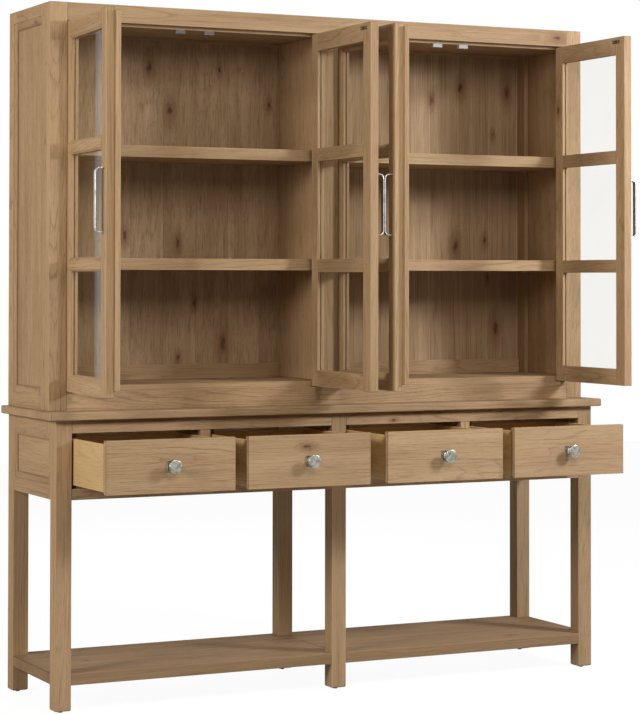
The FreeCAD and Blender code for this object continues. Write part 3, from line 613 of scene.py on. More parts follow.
@dataclass(frozen=True)
class GlideFinish:
    """Dark moulded plastic, finely pitted."""

    name: str
    dark: Colour = (0.020, 0.018, 0.016, 1.0)
    dusty: Colour = (0.070, 0.062, 0.052, 1.0)
    # west_shade: the share of the blend that follows a painted shade, darker towards the west over the left
    # bay
    west_shade: float = 0.0

    def material(self) -> bpy.types.Material:
        """Build the node tree.

        Returns:
            The material.
        """
        bench = Bench.named(self.name)
        place = bench.spot()
        pits = bench.noise(place, 900.0, 2.0)
        dust_and_shade = bench.noise(place, 60.0, 3.0)
        east, _, _ = bench.split(place)
        # Painted shade: with west_shade the colour runs to dark towards the west, where the left catches lie
        # in shade.
        share = dust_and_shade.ease(0.45, 0.7) * (1.0 - self.west_shade) + east.ease(-0.3, 0.2) * self.west_shade
        colour = bench.blend(share, self.dark, self.dusty)
        return bench.finish(bench.body({"Base Color": colour, "Normal": bench.bump(0.3, 0.0003, pits),
                                        "Roughness": 0.55 + dust_and_shade * 0.2}))


Finish = OakFinish | GlassFinish | SilverFinish | GlideFinish


@cache
def material_of(finish: Finish) -> bpy.types.Material:
    """The material of a finish, built the first time it is asked for."""
    return finish.material()


OAK = OakFinish("oak_boards")
OAK_RAIL = OakFinish("oak_figured_rails", ring_gap=0.0085, ring_share=0.44, streak_share=0.40)
OAK_PANEL = OakFinish("oak_panels", stave=0.135, knots=0.10)
OAK_CHEEK = OakFinish("oak_side_panels", knots=0.0, rim=0.0075, band_share=0.90, ring_share=0.22)
OAK_TOP = OakFinish("oak_top", stave=0.122, knots=0.12)
# The bottom shelf's oak is darker than the rest: partly its own tone, partly painted shade from the console
# and drawers above.
OAK_SHELF_SHADED = OakFinish("oak_shelf_boards_painted_shade", stave=0.115, knots=0.12, light=(0.335, 0.217, 0.118, 1.0),
                    middle=(0.262, 0.161, 0.082, 1.0), roughness=0.75, sheen=0.03)
OAK_BACK = OakFinish(
    "oak_back_boards", stave=0.118, knots=0.0, board_share=0.44, light=(0.560, 0.385, 0.225, 1.0),
    middle=(0.410, 0.270, 0.150, 1.0), dark=(0.175, 0.102, 0.054, 1.0), ring_share=0.24,
    streak_share=0.66, band_share=0.85,
    eyes=((-0.4945, 2.0463, 0.0128), (-0.4192, 1.9030, 0.0112), (-0.2358, 2.0480, 0.0053),
          (-0.0505, 1.9351, 0.0067), (-0.5799, 1.4795, 0.0090), (-0.3877, 1.4567, 0.0097),
          (-0.2214, 1.1181, 0.0185), (-0.3261, 1.2544, 0.0067), (-0.3867, 1.0672, 0.0067),
          (0.7080, 2.0237, 0.0112), (0.9015, 2.0126, 0.0150), (0.5891, 1.9735, 0.0083),
          (0.8409, 1.8576, 0.0060), (0.6873, 1.4533, 0.0135), (0.8073, 1.4780, 0.0075),
          (0.8531, 1.1578, 0.0150), (0.8181, 1.3411, 0.0060)))
OAK_DRAWER = OakFinish("oak_drawer_fronts", knots=0.0, lying=Way.LEFT, eyes=((-0.2512, 0.8165, 0.0075),))
BOX_OAK = OakFinish("drawer_box_oak", light=(0.590, 0.402, 0.195, 1.0), middle=(0.505, 0.332, 0.152, 1.0),
                    dark=(0.360, 0.215, 0.085, 1.0), pink=(0.580, 0.380, 0.180, 1.0),
                    olive=(0.540, 0.385, 0.165, 1.0), knots=0.04, ring_share=0.45, streak_share=0.35)
# The drawer runners are painted near black-brown: painted shade inside the console behind the drawers.
RUNNER_SHADE_OAK = OakFinish("runner_oak_painted_shade", light=(0.200, 0.128, 0.070, 1.0), middle=(0.150, 0.092, 0.048, 1.0),
                       dark=(0.080, 0.046, 0.024, 1.0), pink=(0.170, 0.100, 0.055, 1.0),
                       olive=(0.150, 0.104, 0.052, 1.0), knots=0.0)
GLASS = GlassFinish("clear_glass")
SILVER = SilverFinish("aged_silver")
BAR_SILVER = SilverFinish("silver_bar", hammer=120.0, depth=0.00008, roughness=0.28,
                          bright=(0.47, 0.46, 0.43, 1.0), dull=(0.22, 0.21, 0.19, 1.0))
# The catches are painted darker towards the left bay as shade.
CATCH = GlideFinish("catch_plastic", dark=(0.085, 0.072, 0.055, 1.0), dusty=(0.40, 0.38, 0.35, 1.0),
                    west_shade=0.8)
FITTING = SilverFinish("fitting_steel", hammer=60.0, depth=0.0001, roughness=0.40,
                       bright=(0.36, 0.35, 0.32, 1.0), dull=(0.16, 0.15, 0.13, 1.0))
STRIKE = SilverFinish("strike_bronze", hammer=60.0, depth=0.0001, roughness=0.45,
                      bright=(0.085, 0.065, 0.048, 1.0), dull=(0.045, 0.035, 0.026, 1.0))
GLIDE = GlideFinish("glide_plastic")


# Geometry helpers


def chance(word: str, step: int = 0) -> float:
    """A fixed number from 0 to 1 for a name."""
    return (zlib.crc32(f"{word}/{step}".encode()) % NAME_STEPS) / NAME_STEPS


def new_object(name: str, data: bpy.types.ID) -> bpy.types.Object:
    """Put a mesh, lamp or camera into the scene at the origin.

    Args:
        name: the object's name.
        data: what it shows.

    Returns:
        The object.
    """
    thing = bpy.data.objects.new(name, data)
    bpy.context.scene.collection.objects.link(thing)
    return thing


def new_mesh(name: str, points: list[Vector], edges: list[tuple[int, int]],
             faces: list[list[int]]) -> bpy.types.Mesh:
    """Make a mesh.

    Args:
        name: its name.
        points: its corners.
        edges: its loose edges.
        faces: its faces.

    Returns:
        The mesh.
    """
    mesh = bpy.data.meshes.new(name)
    mesh.from_pydata([tuple(point) for point in points], edges, faces)
    return mesh


def welded_mesh(name: str, points: list[Vector], faces: list[list[int]]) -> bpy.types.Mesh:
    """Make a mesh, join the corners that meet and turn its faces outwards.

    Args:
        name: its name.
        points: its corners.
        faces: its faces.

    Returns:
        The mesh.
    """
    mesh = new_mesh(name, points, [], faces)
    work = bmesh.new()
    work.from_mesh(mesh)
    bmesh.ops.remove_doubles(work, verts=work.verts, dist=WELD_DISTANCE)
    bmesh.ops.recalc_face_normals(work, faces=work.faces)
    work.to_mesh(mesh)
    work.free()
    return mesh


def dress(node: str, finish: bpy.types.Material) -> None:
    """Give a CAD node its only material.

    Args:
        node: the node's name.
        finish: the material.
    """
    materials = frame["nodes"][node].data.materials
    materials.clear()
    materials.append(finish)
    LOG.info("%s: dressed", node)


@dataclass
class Solid:
    """One closed board of a CAD node."""

    points: list[Vector]
    triangles: list[tuple[int, int, int]]


def solids_of(node: bpy.types.Object) -> list[Solid]:
    """Part a node's triangles into its closed solids.

    Args:
        node: the CAD node's object.

    Returns:
        Each solid, in the order in which the triangles come.
    """
    mesh = node.data
    keys = [tuple(round(value * KEY_STEPS_PER_METRE) for value in vertex.co) for vertex in mesh.vertices]
    found: list[Solid] = []
    numbers: dict[tuple[int, ...], int] = {}
    points: list[Vector] = []
    triangles: list[tuple[int, int, int]] = []
    open_edges: set[tuple[int, int]] = set()
    mesh.calc_loop_triangles()
    for triangle in mesh.loop_triangles:
        corners = []
        for index in triangle.vertices:
            key = keys[index]
            if key not in numbers:
                numbers[key] = len(points)
                points.append(mesh.vertices[index].co.copy())
            corners.append(numbers[key])
        if len(set(corners)) < 3:
            continue
        triangles.append(tuple(corners))
        for one, two in zip(corners, corners[1:] + corners[:1]):
            if (two, one) in open_edges:
                open_edges.remove((two, one))
            else:
                open_edges.add((one, two))
        if not open_edges:
            found.append(Solid(points, triangles))
            numbers, points, triangles = {}, [], []
    if triangles:
        found.append(Solid(points, triangles))
    return found


@dataclass
class Boards:
    """A CAD node of boards, redrawn with softened edges and a grain direction for each board."""

    node: str
    body: str
    finish: OakFinish
    slot: str = "oak"
    soften: float = BOARD_SOFT
    turn: float = 0.0
    across: tuple[int, ...] = ()
    moulded: bool = False

    def build(self) -> None:
        """Make the piece, dress it and set it in place of the node."""
        points: list[Vector] = []
        faces: list[list[int]] = []
        vectors: dict[str, list[Vector]] = {"grain": [], "local": [], "half": []}
        numbers: dict[str, list[float]] = {"tone": [], "sunk": []}
        for number, solid in enumerate(solids_of(frame["nodes"][self.node])):
            work = self.shape(solid)
            start = len(points)
            work.verts.ensure_lookup_table()
            work.verts.index_update()
            corners = [vert.co.copy() for vert in work.verts]
            points.extend(corners)
            for word, values in zip(vectors, self.places(number, corners)):
                vectors[word].extend(values)
            numbers["tone"].extend([chance(self.node, number)] * len(corners))
            numbers["sunk"].extend(self.depths(corners))
            faces.extend([start + vert.index for vert in face.verts] for face in work.faces)
            work.free()
        mesh = new_mesh(self.node + "_boards", points, [], faces)
        for word, places in vectors.items():
            held = mesh.attributes.new(word, "FLOAT_VECTOR", "POINT")
            held.data.foreach_set("vector", [value for place in places for value in place])
        for word, values in numbers.items():
            mesh.attributes.new(word, "FLOAT", "POINT").data.foreach_set("value", values)
        mesh.materials.append(material_of(self.finish))
        piece = new_object(self.node + "_boards", mesh)
        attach(piece, self.body)
        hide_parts(self.node)
        LOG.info("%s: %d faces", piece.name, len(faces))

    def shape(self, solid: Solid) -> bmesh.types.BMesh:
        """Merge a solid's flat faces and soften its sharp edges.

        Args:
            solid: the board.

        Returns:
            The finished board as a bmesh.
        """
        work = bmesh.new()
        verts = [work.verts.new(point) for point in solid.points]
        for triangle in solid.triangles:
            try:
                work.faces.new([verts[index] for index in triangle])
            except ValueError:
                continue
        bmesh.ops.dissolve_limit(work, angle_limit=FLAT_ANGLE, verts=work.verts, edges=work.edges)
        sharp = [edge for edge in work.edges if len(edge.link_faces) == 2
                 and edge.calc_face_angle(0.0) > SHARP_ANGLE and edge.calc_length() > SHORTEST_SOFT_EDGE]
        if sharp and self.soften > 0:
            bmesh.ops.bevel(work, geom=sharp, offset=self.soften, offset_type="OFFSET", segments=2,
                            profile=0.5, affect="EDGES", clamp_overlap=True)
        return work

    def places(self, number: int, corners: list[Vector]) -> tuple[list[Vector], ...]:
        """Place each corner in its board: x across, y through, z along the grain.

        Args:
            number: which board of the node.
            corners: the board's corners.

        Returns:
            For each corner, its place from the tree's heart, its place from the board's middle,
            and half the board's size, all in metres.
        """
        back = Matrix.Rotation(-self.turn, 3, "Z")
        local = [back @ corner for corner in corners]
        low = [min(corner[axis] for corner in local) for axis in range(3)]
        high = [max(corner[axis] for corner in local) for axis in range(3)]
        order = sorted(range(3), key=lambda axis: high[axis] - low[axis])
        turned = [(self.across or order)[step] for step in (1, 0, 2)]
        middle = Vector([(low[axis] + high[axis]) / 2 for axis in turned])
        half = Vector([(high[axis] - low[axis]) / 2 for axis in turned])
        seed = f"{self.node}#{number}"
        heart = Vector(((chance(seed, 1) - 0.5) * HEART_ASIDE,
                        HEART_NEAREST + chance(seed, 2) * HEART_SPREAD, chance(seed, 3) * TREE_HEIGHT))
        lean = (chance(seed, 4) - 0.5) * GRAIN_LEAN
        inside = [Vector([corner[axis] for axis in turned]) - middle for corner in local]
        grown = [place + heart + Vector((place.z * lean * SIDE_LEAN_SHARE, place.z * lean, 0))
                 for place in inside]
        return grown, inside, [half] * len(corners)

    def depths(self, corners: list[Vector]) -> list[float]:
        """How deep the corners of a moulded side frame lie behind its outer face.

        Args:
            corners: the board's corners.

        Returns:
            For each corner, from 0 on the face to 1 at the foot of the moulding.
        """
        if not self.moulded:
            return [0.0] * len(corners)
        outer = max(abs(corner.x) for corner in corners)
        sinks = [outer - abs(corner.x) for corner in corners]
        return [sink / MOULDING_DEPTH if sink < MOULDING_DEPTH * MOULDING_SLACK else 0.0 for sink in sinks]


def lathe(profile: list[tuple[float, float]], steps: int) -> tuple[list[Vector], list[list[int]]]:
    """Turn an outline about the Y axis.

    Args:
        profile: radius and depth of each point; the first and last lie on the axis.
        steps: how many faces go round.

    Returns:
        Corners and faces.
    """
    points = [Vector((0.0, profile[0][1], 0.0))]
    inner = profile[1:-1]
    for radius, depth in inner:
        for step in range(steps):
            angle = 2 * math.pi * step / steps
            points.append(Vector((radius * math.cos(angle), depth, radius * math.sin(angle))))
    points.append(Vector((0.0, profile[-1][1], 0.0)))
    last = len(points) - 1
    faces: list[list[int]] = []
    for step in range(steps):
        after = (step + 1) % steps
        faces.append([0, 1 + step, 1 + after])
        for row in range(len(inner) - 1):
            one, two = 1 + row * steps, 1 + (row + 1) * steps
            faces.append([one + step, two + step, two + after, one + after])
        end = 1 + (len(inner) - 1) * steps
        faces.append([end + step, last, end + after])
    return points, faces


def tray(side: float, depth: float, rim: float, floor: float) -> tuple[list[Vector], list[list[int]]]:
    """A square plate with a raised rim, its back at y 0 and its face towards -Y.

    Args:
        side: its width and height.
        depth: its thickness at the rim.
        rim: width of the rim.
        floor: its thickness inside the rim.

    Returns:
        Corners and faces.
    """
    chamfer = depth * CHAMFER_SHARE
    loops = [(side / 2, 0.0), (side / 2, chamfer - depth), (side / 2 - chamfer, -depth),
             (side / 2 - rim, -depth), (side / 2 - rim * RIM_FOOT_SHARE, -floor)]
    points: list[Vector] = []
    for half, y in loops:
        for sx, sz in ((-1, -1), (1, -1), (1, 1), (-1, 1)):
            points.append(Vector((sx * half, y, sz * half)))
    faces = [[3, 2, 1, 0]]
    for row in range(len(loops) - 1):
        for step in range(4):
            after = (step + 1) % 4
            faces.append([row * 4 + step, row * 4 + after, row * 4 + 4 + after, row * 4 + 4 + step])
    end = (len(loops) - 1) * 4
    faces.append([end, end + 1, end + 2, end + 3])
    return points, faces


# Repeated fittings, grown with Geometry Nodes


class NodeGarden(NodeSheet):
    """A Geometry Nodes tree with named inputs."""

    def __init__(self, name: str, sizes: dict[str, float]) -> None:
        """Make the tree.

        Args:
            name: its name.
            sizes: its named inputs and what they start at.
        """
        super().__init__(bpy.data.node_groups.new(name, "GeometryNodeTree"))
        face = self.tree.interface
        face.new_socket("Geometry", in_out="INPUT", socket_type="NodeSocketGeometry")
        for word, value in sizes.items():
            face.new_socket(word, in_out="INPUT", socket_type="NodeSocketFloat").default_value = value
        face.new_socket("Finish", in_out="INPUT", socket_type="NodeSocketMaterial")
        face.new_socket("Geometry", in_out="OUTPUT", socket_type="NodeSocketGeometry")
        self.start = self.tree.nodes.new("NodeGroupInput")
        self.end = self.tree.nodes.new("NodeGroupOutput")

    def sizes(self) -> list[Wire]:
        """The named sizes as values, in order."""
        return [Wire(self, socket) for socket in self.start.outputs if socket.type == "VALUE"]

    def close(self, geometry: bpy.types.Node) -> None:
        """Realise the instances, give them their finish and end the tree.

        Args:
            geometry: the node that has made it.
        """
        real = self.add("GeometryNodeRealizeInstances", {}, {0: geometry})
        dressed = self.add("GeometryNodeSetMaterial", {},
                           {"Geometry": real, "Material": self.start.outputs["Finish"]})
        self.feed(self.end.inputs[0], dressed)

    def grow(self, name: str, base: bpy.types.Mesh, sizes: dict[str, float],
             finish: bpy.types.Material) -> bpy.types.Object:
        """Run the tree on a mesh and keep the result as a plain mesh.

        Args:
            name: the new object's name.
            base: what the tree starts from.
            sizes: the inputs to set.
            finish: the material to give.

        Returns:
            The new object.
        """
        holder = new_object(name + "_base", base)
        modifier = holder.modifiers.new("garden", "NODES")
        modifier.node_group = self.tree
        for item in self.tree.interface.items_tree:
            if item.in_out != "INPUT" or item.socket_type == "NodeSocketGeometry":
                continue
            if item.name == "Finish":
                modifier[item.identifier] = finish
            elif item.name in sizes:
                modifier[item.identifier] = sizes[item.name]
        graph = bpy.context.evaluated_depsgraph_get()
        graph.update()
        mesh = bpy.data.meshes.new_from_object(holder.evaluated_get(graph))
        mesh.name = name
        if not mesh.materials:
            mesh.materials.append(finish)
        holder.modifiers.remove(modifier)
        bpy.data.objects.remove(holder)
        return new_object(name, mesh)


def screw_garden() -> NodeGarden:
    """The tree that puts a slotted round head on each point of a mesh.

    Returns:
        The tree; a point's normal, kept as the attribute facing, is the way its head looks.
    """
    garden = NodeGarden("slotted_screws", {"Head Radius": 0.0030, "Head Rise": 0.0011, "Slot": 0.0007})
    radius, rise, slot = garden.sizes()
    ball = garden.add("GeometryNodeMeshUVSphere", {},
                      {"Segments": HEAD_SEGMENTS, "Rings": HEAD_RINGS, "Radius": 1.0})
    head = garden.add("GeometryNodeTransform", {},
                      {"Geometry": ball, "Scale": garden.join(radius, radius, rise)})
    cube = garden.add("GeometryNodeMeshCube", {}, {"Size": garden.join(radius * SLOT_LENGTH, slot, rise)})
    blade = garden.add("GeometryNodeTransform", {},
                       {"Geometry": cube, "Translation": garden.join(0.0, 0.0, rise)})
    slotted = garden.add("GeometryNodeMeshBoolean", {"operation": "DIFFERENCE"},
                         {"Mesh 1": head, "Mesh 2": blade})
    facing = garden.add("GeometryNodeInputNamedAttribute", {"data_type": "FLOAT_VECTOR"},
                        {"Name": "facing"})
    turned = garden.add("FunctionNodeAlignEulerToVector", {"axis": "Z"}, {"Vector": facing})
    spin = garden.add("FunctionNodeRandomValue", {"data_type": "FLOAT"},
                      {"Min": 0.0, "Max": SPIN_RANGE, "Seed": SPIN_SEED})
    angle = next(socket for socket in spin.outputs if socket.enabled)
    both = garden.add("FunctionNodeRotateEuler", {"space": "LOCAL"},
                      {"Rotation": turned, "Rotate By": garden.join(0.0, 0.0, angle)})
    garden.close(garden.add("GeometryNodeInstanceOnPoints", {},
                            {"Points": garden.start, "Instance": slotted, "Rotation": both}))
    return garden


def bow_garden() -> NodeGarden:
    """The tree that bends a flat strap with rounded edges along a path.

    Returns:
        The tree; it starts from a mesh of edges, the path from foot to foot.
    """
    garden = NodeGarden("bent_strap", {"Thickness": 0.0044, "Width": 0.016, "Bend": 0.0148, "Turn": 0.0})
    thick, wide, bend, turn = garden.sizes()
    path = garden.add("GeometryNodeMeshToCurve", {}, {"Mesh": garden.start})
    smooth = garden.add("GeometryNodeFilletCurve", {"mode": "POLY"},
                        {"Curve": path, "Count": BEND_STEPS, "Radius": bend})
    across = garden.add("ShaderNodeVectorRotate", {"rotation_type": "EULER_XYZ"},
                        {"Vector": (1.0, 0.0, 0.0), "Rotation": garden.join(0.0, 0.0, turn)})
    level = garden.add("GeometryNodeSetCurveNormal", {"mode": "FREE"}, {"Curve": smooth, "Normal": across})
    section = garden.add("GeometryNodeCurvePrimitiveQuadrilateral", {"mode": "RECTANGLE"},
                         {"Width": wide, "Height": thick})
    rounded = garden.add("GeometryNodeFilletCurve", {"mode": "POLY"},
                         {"Curve": section, "Count": EDGE_STEPS, "Radius": thick * EDGE_SHARE})
    bar = garden.add("GeometryNodeCurveToMesh", {},
                     {"Curve": level, "Profile Curve": rounded, "Fill Caps": True})
    garden.close(garden.add("GeometryNodeSetShadeSmooth", {}, {0: bar}))
    return garden


@dataclass
class ScrewSet:
    """Small slotted screws on one body's plates."""

    name: str
    body: str
    places: list[tuple[Vector, Vector]]
    rise: float = 0.0011

    def build(self, garden: NodeGarden) -> None:
        """Grow the screws.

        Args:
            garden: the tree that makes them.
        """
        mesh = new_mesh(self.name + "_points", [place for place, _ in self.places], [], [])
        facing = mesh.attributes.new("facing", "FLOAT_VECTOR", "POINT")
        facing.data.foreach_set("vector", [value for _, way in self.places for value in way])
        piece = garden.grow(self.name, mesh, {"Head Rise": self.rise}, material_of(FITTING))
        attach(piece, self.body)
        LOG.info("%s: %d screws", self.name, len(self.places))


# Sub-assemblies


@dataclass
class Console:
    """The lower half: top, legs, rails, aprons and the bottom shelf."""

    body: str = "cabinet"

    def build(self) -> None:
        """Dress every console node."""
        for node, finish, soften in (
                ("console_top", OAK_TOP, 0.0), ("console_legs", OAK, CORNER_SOFT),
                ("console_front_rails", OAK, BOARD_SOFT), ("drawer_dividers", OAK, BOARD_SOFT),
                ("rear_aprons", OAK, BOARD_SOFT), ("side_apron_panels", OAK_CHEEK, 0.0),
                ("bottom_shelf", OAK_SHELF_SHADED, CORNER_SOFT)):
            Boards(node, self.body, finish, soften=soften).build()
        Boards("side_apron_frames", self.body, OAK_RAIL, soften=MOULDED_SOFT, moulded=True).build()
        Boards("drawer_runners", self.body, RUNNER_SHADE_OAK, slot="pale_oak").build()
        dress("leg_glides", material_of(GLIDE))


@dataclass
class Hutch:
    """The upper half: face frame, sides, boards, shelves and fittings."""

    body: str = "cabinet"
    face_boards: tuple[str, ...] = ("hutch_face_stiles", "hutch_back_rails", "hutch_shelves",
                                    "door_stops")
    side_boards: tuple[str, ...] = ("hutch_side_stiles", "hutch_side_rails")
    panels: tuple[str, ...] = ("hutch_bottom_board", "hutch_top_board", "hutch_partition")
    shortest_catch: float = 0.03
    catch_screw: float = 0.013

    def build(self) -> None:
        """Dress every hutch node."""
        for node in self.face_boards:
            Boards(node, self.body, OAK).build()
        Boards("hutch_face_rails", self.body, OAK_RAIL).build()
        for node in self.side_boards:
            Boards(node, self.body, OAK_RAIL, soften=MOULDED_SOFT, moulded=True).build()
        for node in self.panels:
            Boards(node, self.body, OAK_PANEL).build()
        Boards("hutch_side_panels", self.body, OAK_CHEEK).build()
        Boards("hutch_back_panels", self.body, OAK_BACK, soften=0.0).build()
        dress("cabinet_fittings", material_of(CATCH))

    def screws(self) -> list[tuple[Vector, Vector]]:
        """Places of the screws under the magnetic catches.

        Returns:
            Each screw's place and the way its head looks.
        """
        places: list[tuple[Vector, Vector]] = []
        for solid in solids_of(frame["nodes"]["cabinet_fittings"]):
            low = [min(point[axis] for point in solid.points) for axis in range(3)]
            high = [max(point[axis] for point in solid.points) for axis in range(3)]
            middle = [(one + two) / 2 for one, two in zip(low, high)]
            if high[0] - low[0] > self.shortest_catch:
                places += [(Vector((middle[0] + side * self.catch_screw, middle[1], low[2])),
                            Vector((0, 0, -1))) for side in (-1, 1)]
        return places


@dataclass
class Door:
    """A glazed door on its pivot, with its bow handle and fittings."""

    number: int
    way: Way = field(init=False)
    pivot: Vector = field(init=False)
    turn: float = field(init=False)
    half: float = 0.014
    free: float = 0.42775
    handle_inset: float = 0.0235
    handle_reach: float = 0.0286
    strap_thick: float = 0.0044
    strap_width: float = 0.0160
    bend: float = 0.0148
    strike_inset: float = 0.049
    strike_thick: float = 0.0015
    screw_step: float = 0.0125
    screw_rise: float = 0.0003
    foot_sunk: float = 0.0002

    def __post_init__(self) -> None:
        """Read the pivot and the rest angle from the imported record."""
        joint = next(one for one in frame["record"]["behaviour"]["joints"]
                     if one["name"] == f"door_{self.number}_hinge")
        self.pivot = Vector(joint["pos_m"])
        self.way = Way.RIGHT if joint["axis"][2] < 0 else Way.LEFT
        self.turn = math.radians(-joint["range_deg"][0]) * joint["axis"][2]

    @property
    def body(self) -> str:
        """The CAD body's name."""
        return f"door_{self.number}"

    def out(self, x: float, y: float, z: float) -> Vector:
        """A place on the leaf, given as distance from the pivot, depth and height."""
        spun = Matrix.Rotation(self.turn, 3, "Z") @ Vector((x * self.way.value, y, 0))
        return Vector((self.pivot.x + spun.x, self.pivot.y + spun.y, z))

    def aim(self, x: float, y: float, z: float) -> Vector:
        """A direction on the leaf."""
        return Matrix.Rotation(self.turn, 3, "Z") @ Vector((x * self.way.value, y, z))

    def build(self, bars: NodeGarden, screws: NodeGarden) -> None:
        """Dress the leaf and make its handle and screws.

        Args:
            bars: the tree that bends the handle.
            screws: the tree that makes the screws.
        """
        for word in ("stiles", "rails"):
            Boards(f"{self.body}_{word}", self.body, OAK, soften=LEAF_SOFT, turn=self.turn).build()
        dress(f"{self.body}_glass", material_of(GLASS))
        dress(f"{self.body}_fittings", material_of(STRIKE))
        self.handle(bars)
        strike = self.free - self.strike_inset
        metal = solids_of(frame["nodes"][f"{self.body}_fittings"])
        plate = next(solid for solid in metal if len(solid.points) == 8)
        middle = sum(point.z for point in plate.points) / len(plate.points)
        places = [(self.out(strike + side * self.screw_step, self.half + self.strike_thick, middle),
                   self.aim(0, 1, 0)) for side in (-1, 1)]
        ScrewSet(f"{self.body}_screws", self.body, places, self.screw_rise).build(screws)

    def handle(self, bars: NodeGarden) -> None:
        """Bend the bow handle from foot to foot.

        Args:
            bars: the tree that bends it.
        """
        x = self.free - self.handle_inset
        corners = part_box(f"{self.body}_handle")
        low, high = corners[0][2] + self.strap_thick / 2, corners[1][2] - self.strap_thick / 2
        face, far = -self.half + self.foot_sunk, -self.half - self.handle_reach + self.strap_thick / 2
        path = [self.out(x, face, low), self.out(x, far, low), self.out(x, far, high),
                self.out(x, face, high)]
        mesh = new_mesh("bow_path", path, [(0, 1), (1, 2), (2, 3)], [])
        name = f"{self.body}_bow"
        sizes = {"Thickness": self.strap_thick, "Width": self.strap_width, "Bend": self.bend,
                 "Turn": self.turn}
        piece = bars.grow(name, mesh, sizes, material_of(BAR_SILVER))
        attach(piece, self.body)
        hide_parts(f"{self.body}_handle")
        LOG.info("%s: bent", name)


@dataclass
class Drawer:
    """A drawer with its box, bottom and knob."""

    number: int
    plate_side: float = 0.034
    plate_depth: float = 0.003
    plate_rim: float = 0.0034
    plate_floor: float = 0.0016
    disc: float = 0.0215
    reach: float = 0.031
    neck: tuple[tuple[float, float], ...] = (
        (0.0, 0.0008), (0.0115, 0.0008), (0.0120, 0.0028), (0.0112, 0.0044), (0.0080, 0.0062),
        (0.0064, 0.0090), (0.0060, 0.0140), (0.0066, 0.0180), (0.0090, 0.0222))
    edge: tuple[tuple[float, float], ...] = (
        (0.0075, -0.0055), (0.0016, -0.0034), (0.0, -0.0016), (0.0, 0.0018), (0.0006, 0.0028),
        (0.00215, 0.0036), (0.00387, 0.0036), (0.01075, 0.0042), (0.0215, 0.0045))
    facets: int = 56
    smooth_area: float = 2e-5
    crease: float = 32.0

    @property
    def body(self) -> str:
        """The CAD body's name."""
        return f"drawer_{self.number}"

    def build(self) -> None:
        """Dress the drawer and make its knob."""
        Boards(f"{self.body}_front", self.body, OAK_DRAWER, soften=0.0).build()
        Boards(f"{self.body}_box", self.body, BOX_OAK, slot="pale_oak").build()
        Boards(f"{self.body}_bottom", self.body, BOX_OAK, slot="pale_oak", soften=0.0,
               across=(2, 1, 0)).build()
        self.knob()

    def knob(self) -> None:
        """Turn the knob: a disc on a waisted neck, on a square tray."""
        low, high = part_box(f"{self.body}_front")
        bottom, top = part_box(f"{self.body}_knob")
        centre = Vector(((low[0] + high[0]) / 2, low[1], (bottom[2] + top[2]) / 2))
        profile = [(radius, -depth) for radius, depth in self.neck]
        profile += [(self.disc - inset, -self.reach - rise) for inset, rise in self.edge]
        points, faces = lathe(profile, self.facets)
        more, sides = tray(self.plate_side, self.plate_depth, self.plate_rim, self.plate_floor)
        start = len(points)
        points += more
        faces += [[start + index for index in face] for face in sides]
        mesh = welded_mesh(f"{self.body}_turned_knob", [centre + point for point in points], faces)
        for polygon in mesh.polygons:
            polygon.use_smooth = len(polygon.vertices) < 5 and polygon.area < self.smooth_area
        mesh.materials.append(material_of(SILVER))
        piece = new_object(f"{self.body}_turned_knob", mesh)
        mesh.set_sharp_from_angle(angle=math.radians(self.crease))
        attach(piece, self.body)
        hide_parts(f"{self.body}_knob")
        LOG.info("%s: turned", piece.name)


# Studio


@dataclass(frozen=True)
class Lamp:
    """A soft square lamp."""

    name: str
    place: Triple
    aim: Triple
    size: float
    power: float
    colour: Triple

    def light(self) -> None:
        """Hang the lamp."""
        data = bpy.data.lights.new(self.name, "AREA")
        data.shape = "SQUARE"
        data.size = self.size
        data.energy = self.power
        data.color = self.colour
        thing = new_object(self.name, data)
        thing.location = self.place
        away = Vector(self.place) - Vector(self.aim)
        thing.rotation_euler = away.to_track_quat("Z", "Y").to_euler()


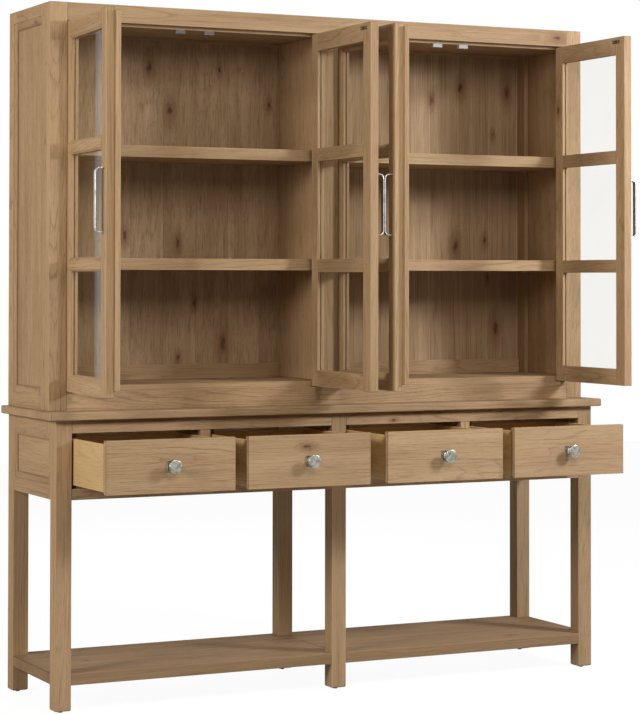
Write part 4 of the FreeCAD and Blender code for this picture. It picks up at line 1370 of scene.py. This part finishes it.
@dataclass
class Studio:
    """Floor, background, lamps and camera."""

    camera_place: Triple = (-3.3349, -6.6498, 1.3403)
    yaw: float = -0.4576
    pitch: float = 0.0211
    roll: float = 0.0012
    lens: float = 114.26
    shift: tuple[float, float] = (0.0010, -0.1776)
    sensor: float = 36.0
    near: float = 0.05
    far: float = 100.0
    sky: Colour = (0.97, 0.985, 1.0, 1.0)
    ambient: float = 0.16
    floor_half: float = 9.0
    floor_dark: Colour = (0.44, 0.44, 0.44, 1.0)
    floor_pale: Colour = (0.48, 0.48, 0.48, 1.0)
    glow: float = 1.12
    glow_share: float = 0.85
    lamps: tuple[Lamp, ...] = (
        Lamp("right_lamp", (2.45, -2.30, 2.45), (0.3, -0.1, 1.0), 0.65, 102.0, (0.92, 0.99, 1.12)),
        Lamp("front_lamp", (-0.20, -3.30, 3.05), (0.0, 0.2, 1.5), 1.4, 54.0, (1.0, 0.98, 0.93)),
        Lamp("left_lamp", (-4.70, -1.40, 2.25), (-0.9, 0.0, 1.2), 1.2, 142.0, (1.0, 0.985, 0.95)),
        Lamp("rear_lamp", (1.30, 4.40, 2.90), (0.0, 0.4, 1.2), 2.2, 60.0, (1.0, 0.99, 0.98)),
    )

    def build(self) -> None:
        """Set up everything that isn't the sideboard."""
        self.floor()
        self.world()
        for lamp in self.lamps:
            lamp.light()
        self.camera()
        bpy.context.scene.view_settings.view_transform = "Standard"

    def seen(self, bench: Bench) -> Wire:
        """One for rays from the camera, mirrors and glass.

        Args:
            bench: the tree.

        Returns:
            One or zero.
        """
        path = bench.add("ShaderNodeLightPath", {}, {})
        total = bench.wire(path, "Is Camera Ray") + bench.wire(path, "Is Glossy Ray")
        return (total + bench.wire(path, "Is Transmission Ray")).math("MINIMUM", 1.0)

    def floor(self) -> None:
        """Lay the pale floor."""
        half = self.floor_half
        corners = [Vector((x, y, 0)) for x, y in ((-half, -half), (half, -half), (half, half), (-half, half))]
        mesh = new_mesh("floor", corners, [], [[0, 1, 2, 3]])
        bench = Bench.named("pale_floor")
        cloud = bench.noise(bench.spot(), 0.6, 2.0)
        colour = bench.blend(cloud, self.floor_dark, self.floor_pale)
        matt = bench.body({"Base Color": colour, "Roughness": 0.85, "Specular IOR Level": 0.1})
        glow = bench.add("ShaderNodeEmission", {}, {"Color": WHITE, "Strength": self.glow})
        mesh.materials.append(bench.mix(self.seen(bench) * self.glow_share, matt, glow))
        new_object("studio_floor", mesh)

    def world(self) -> None:
        """White background, dimmer light all round."""
        world = bpy.data.worlds.new("studio_world")
        bpy.context.scene.world = world
        bench = Bench(world, "ShaderNodeOutputWorld")
        ambient = bench.add("ShaderNodeBackground", {}, {0: self.sky, 1: self.ambient})
        white = bench.add("ShaderNodeBackground", {}, {0: WHITE, 1: 1.0})
        bench.mix(self.seen(bench), ambient, white)

    def camera(self) -> None:
        """Stand the camera where the photograph was taken from."""
        data = bpy.data.cameras.new("camera")
        data.sensor_width = self.sensor
        data.lens = self.lens
        data.shift_x, data.shift_y = self.shift
        data.clip_start, data.clip_end = self.near, self.far
        thing = new_object("camera", data)
        ahead = Vector((-math.sin(self.yaw), math.cos(self.yaw), 0))
        right = Vector((math.cos(self.yaw), math.sin(self.yaw), 0))
        up = Vector((0, 0, 1))
        aim = ahead * math.cos(self.pitch) + up * math.sin(self.pitch)
        top = up * math.cos(self.pitch) - ahead * math.sin(self.pitch)
        side = right * math.cos(self.roll) + top * math.sin(self.roll)
        lift = top * math.cos(self.roll) - right * math.sin(self.roll)
        turn = Matrix((side, lift, -aim)).transposed()
        thing.matrix_world = Matrix.Translation(self.camera_place) @ turn.to_4x4()
        bpy.context.scene.camera = thing


def main() -> None:
    """Build the sideboard and its studio in order."""
    logging.basicConfig(level=logging.INFO, format="%(name)s %(message)s")
    screws, bars = screw_garden(), bow_garden()
    Console().build()
    hutch = Hutch()
    hutch.build()
    ScrewSet("catch_screws", "cabinet", hutch.screws()).build(screws)
    for number in (1, 2, 3, 4):
        Door(number).build(bars, screws)
        Drawer(number).build()
    Studio().build()


if __name__ == "__main__":
    main()
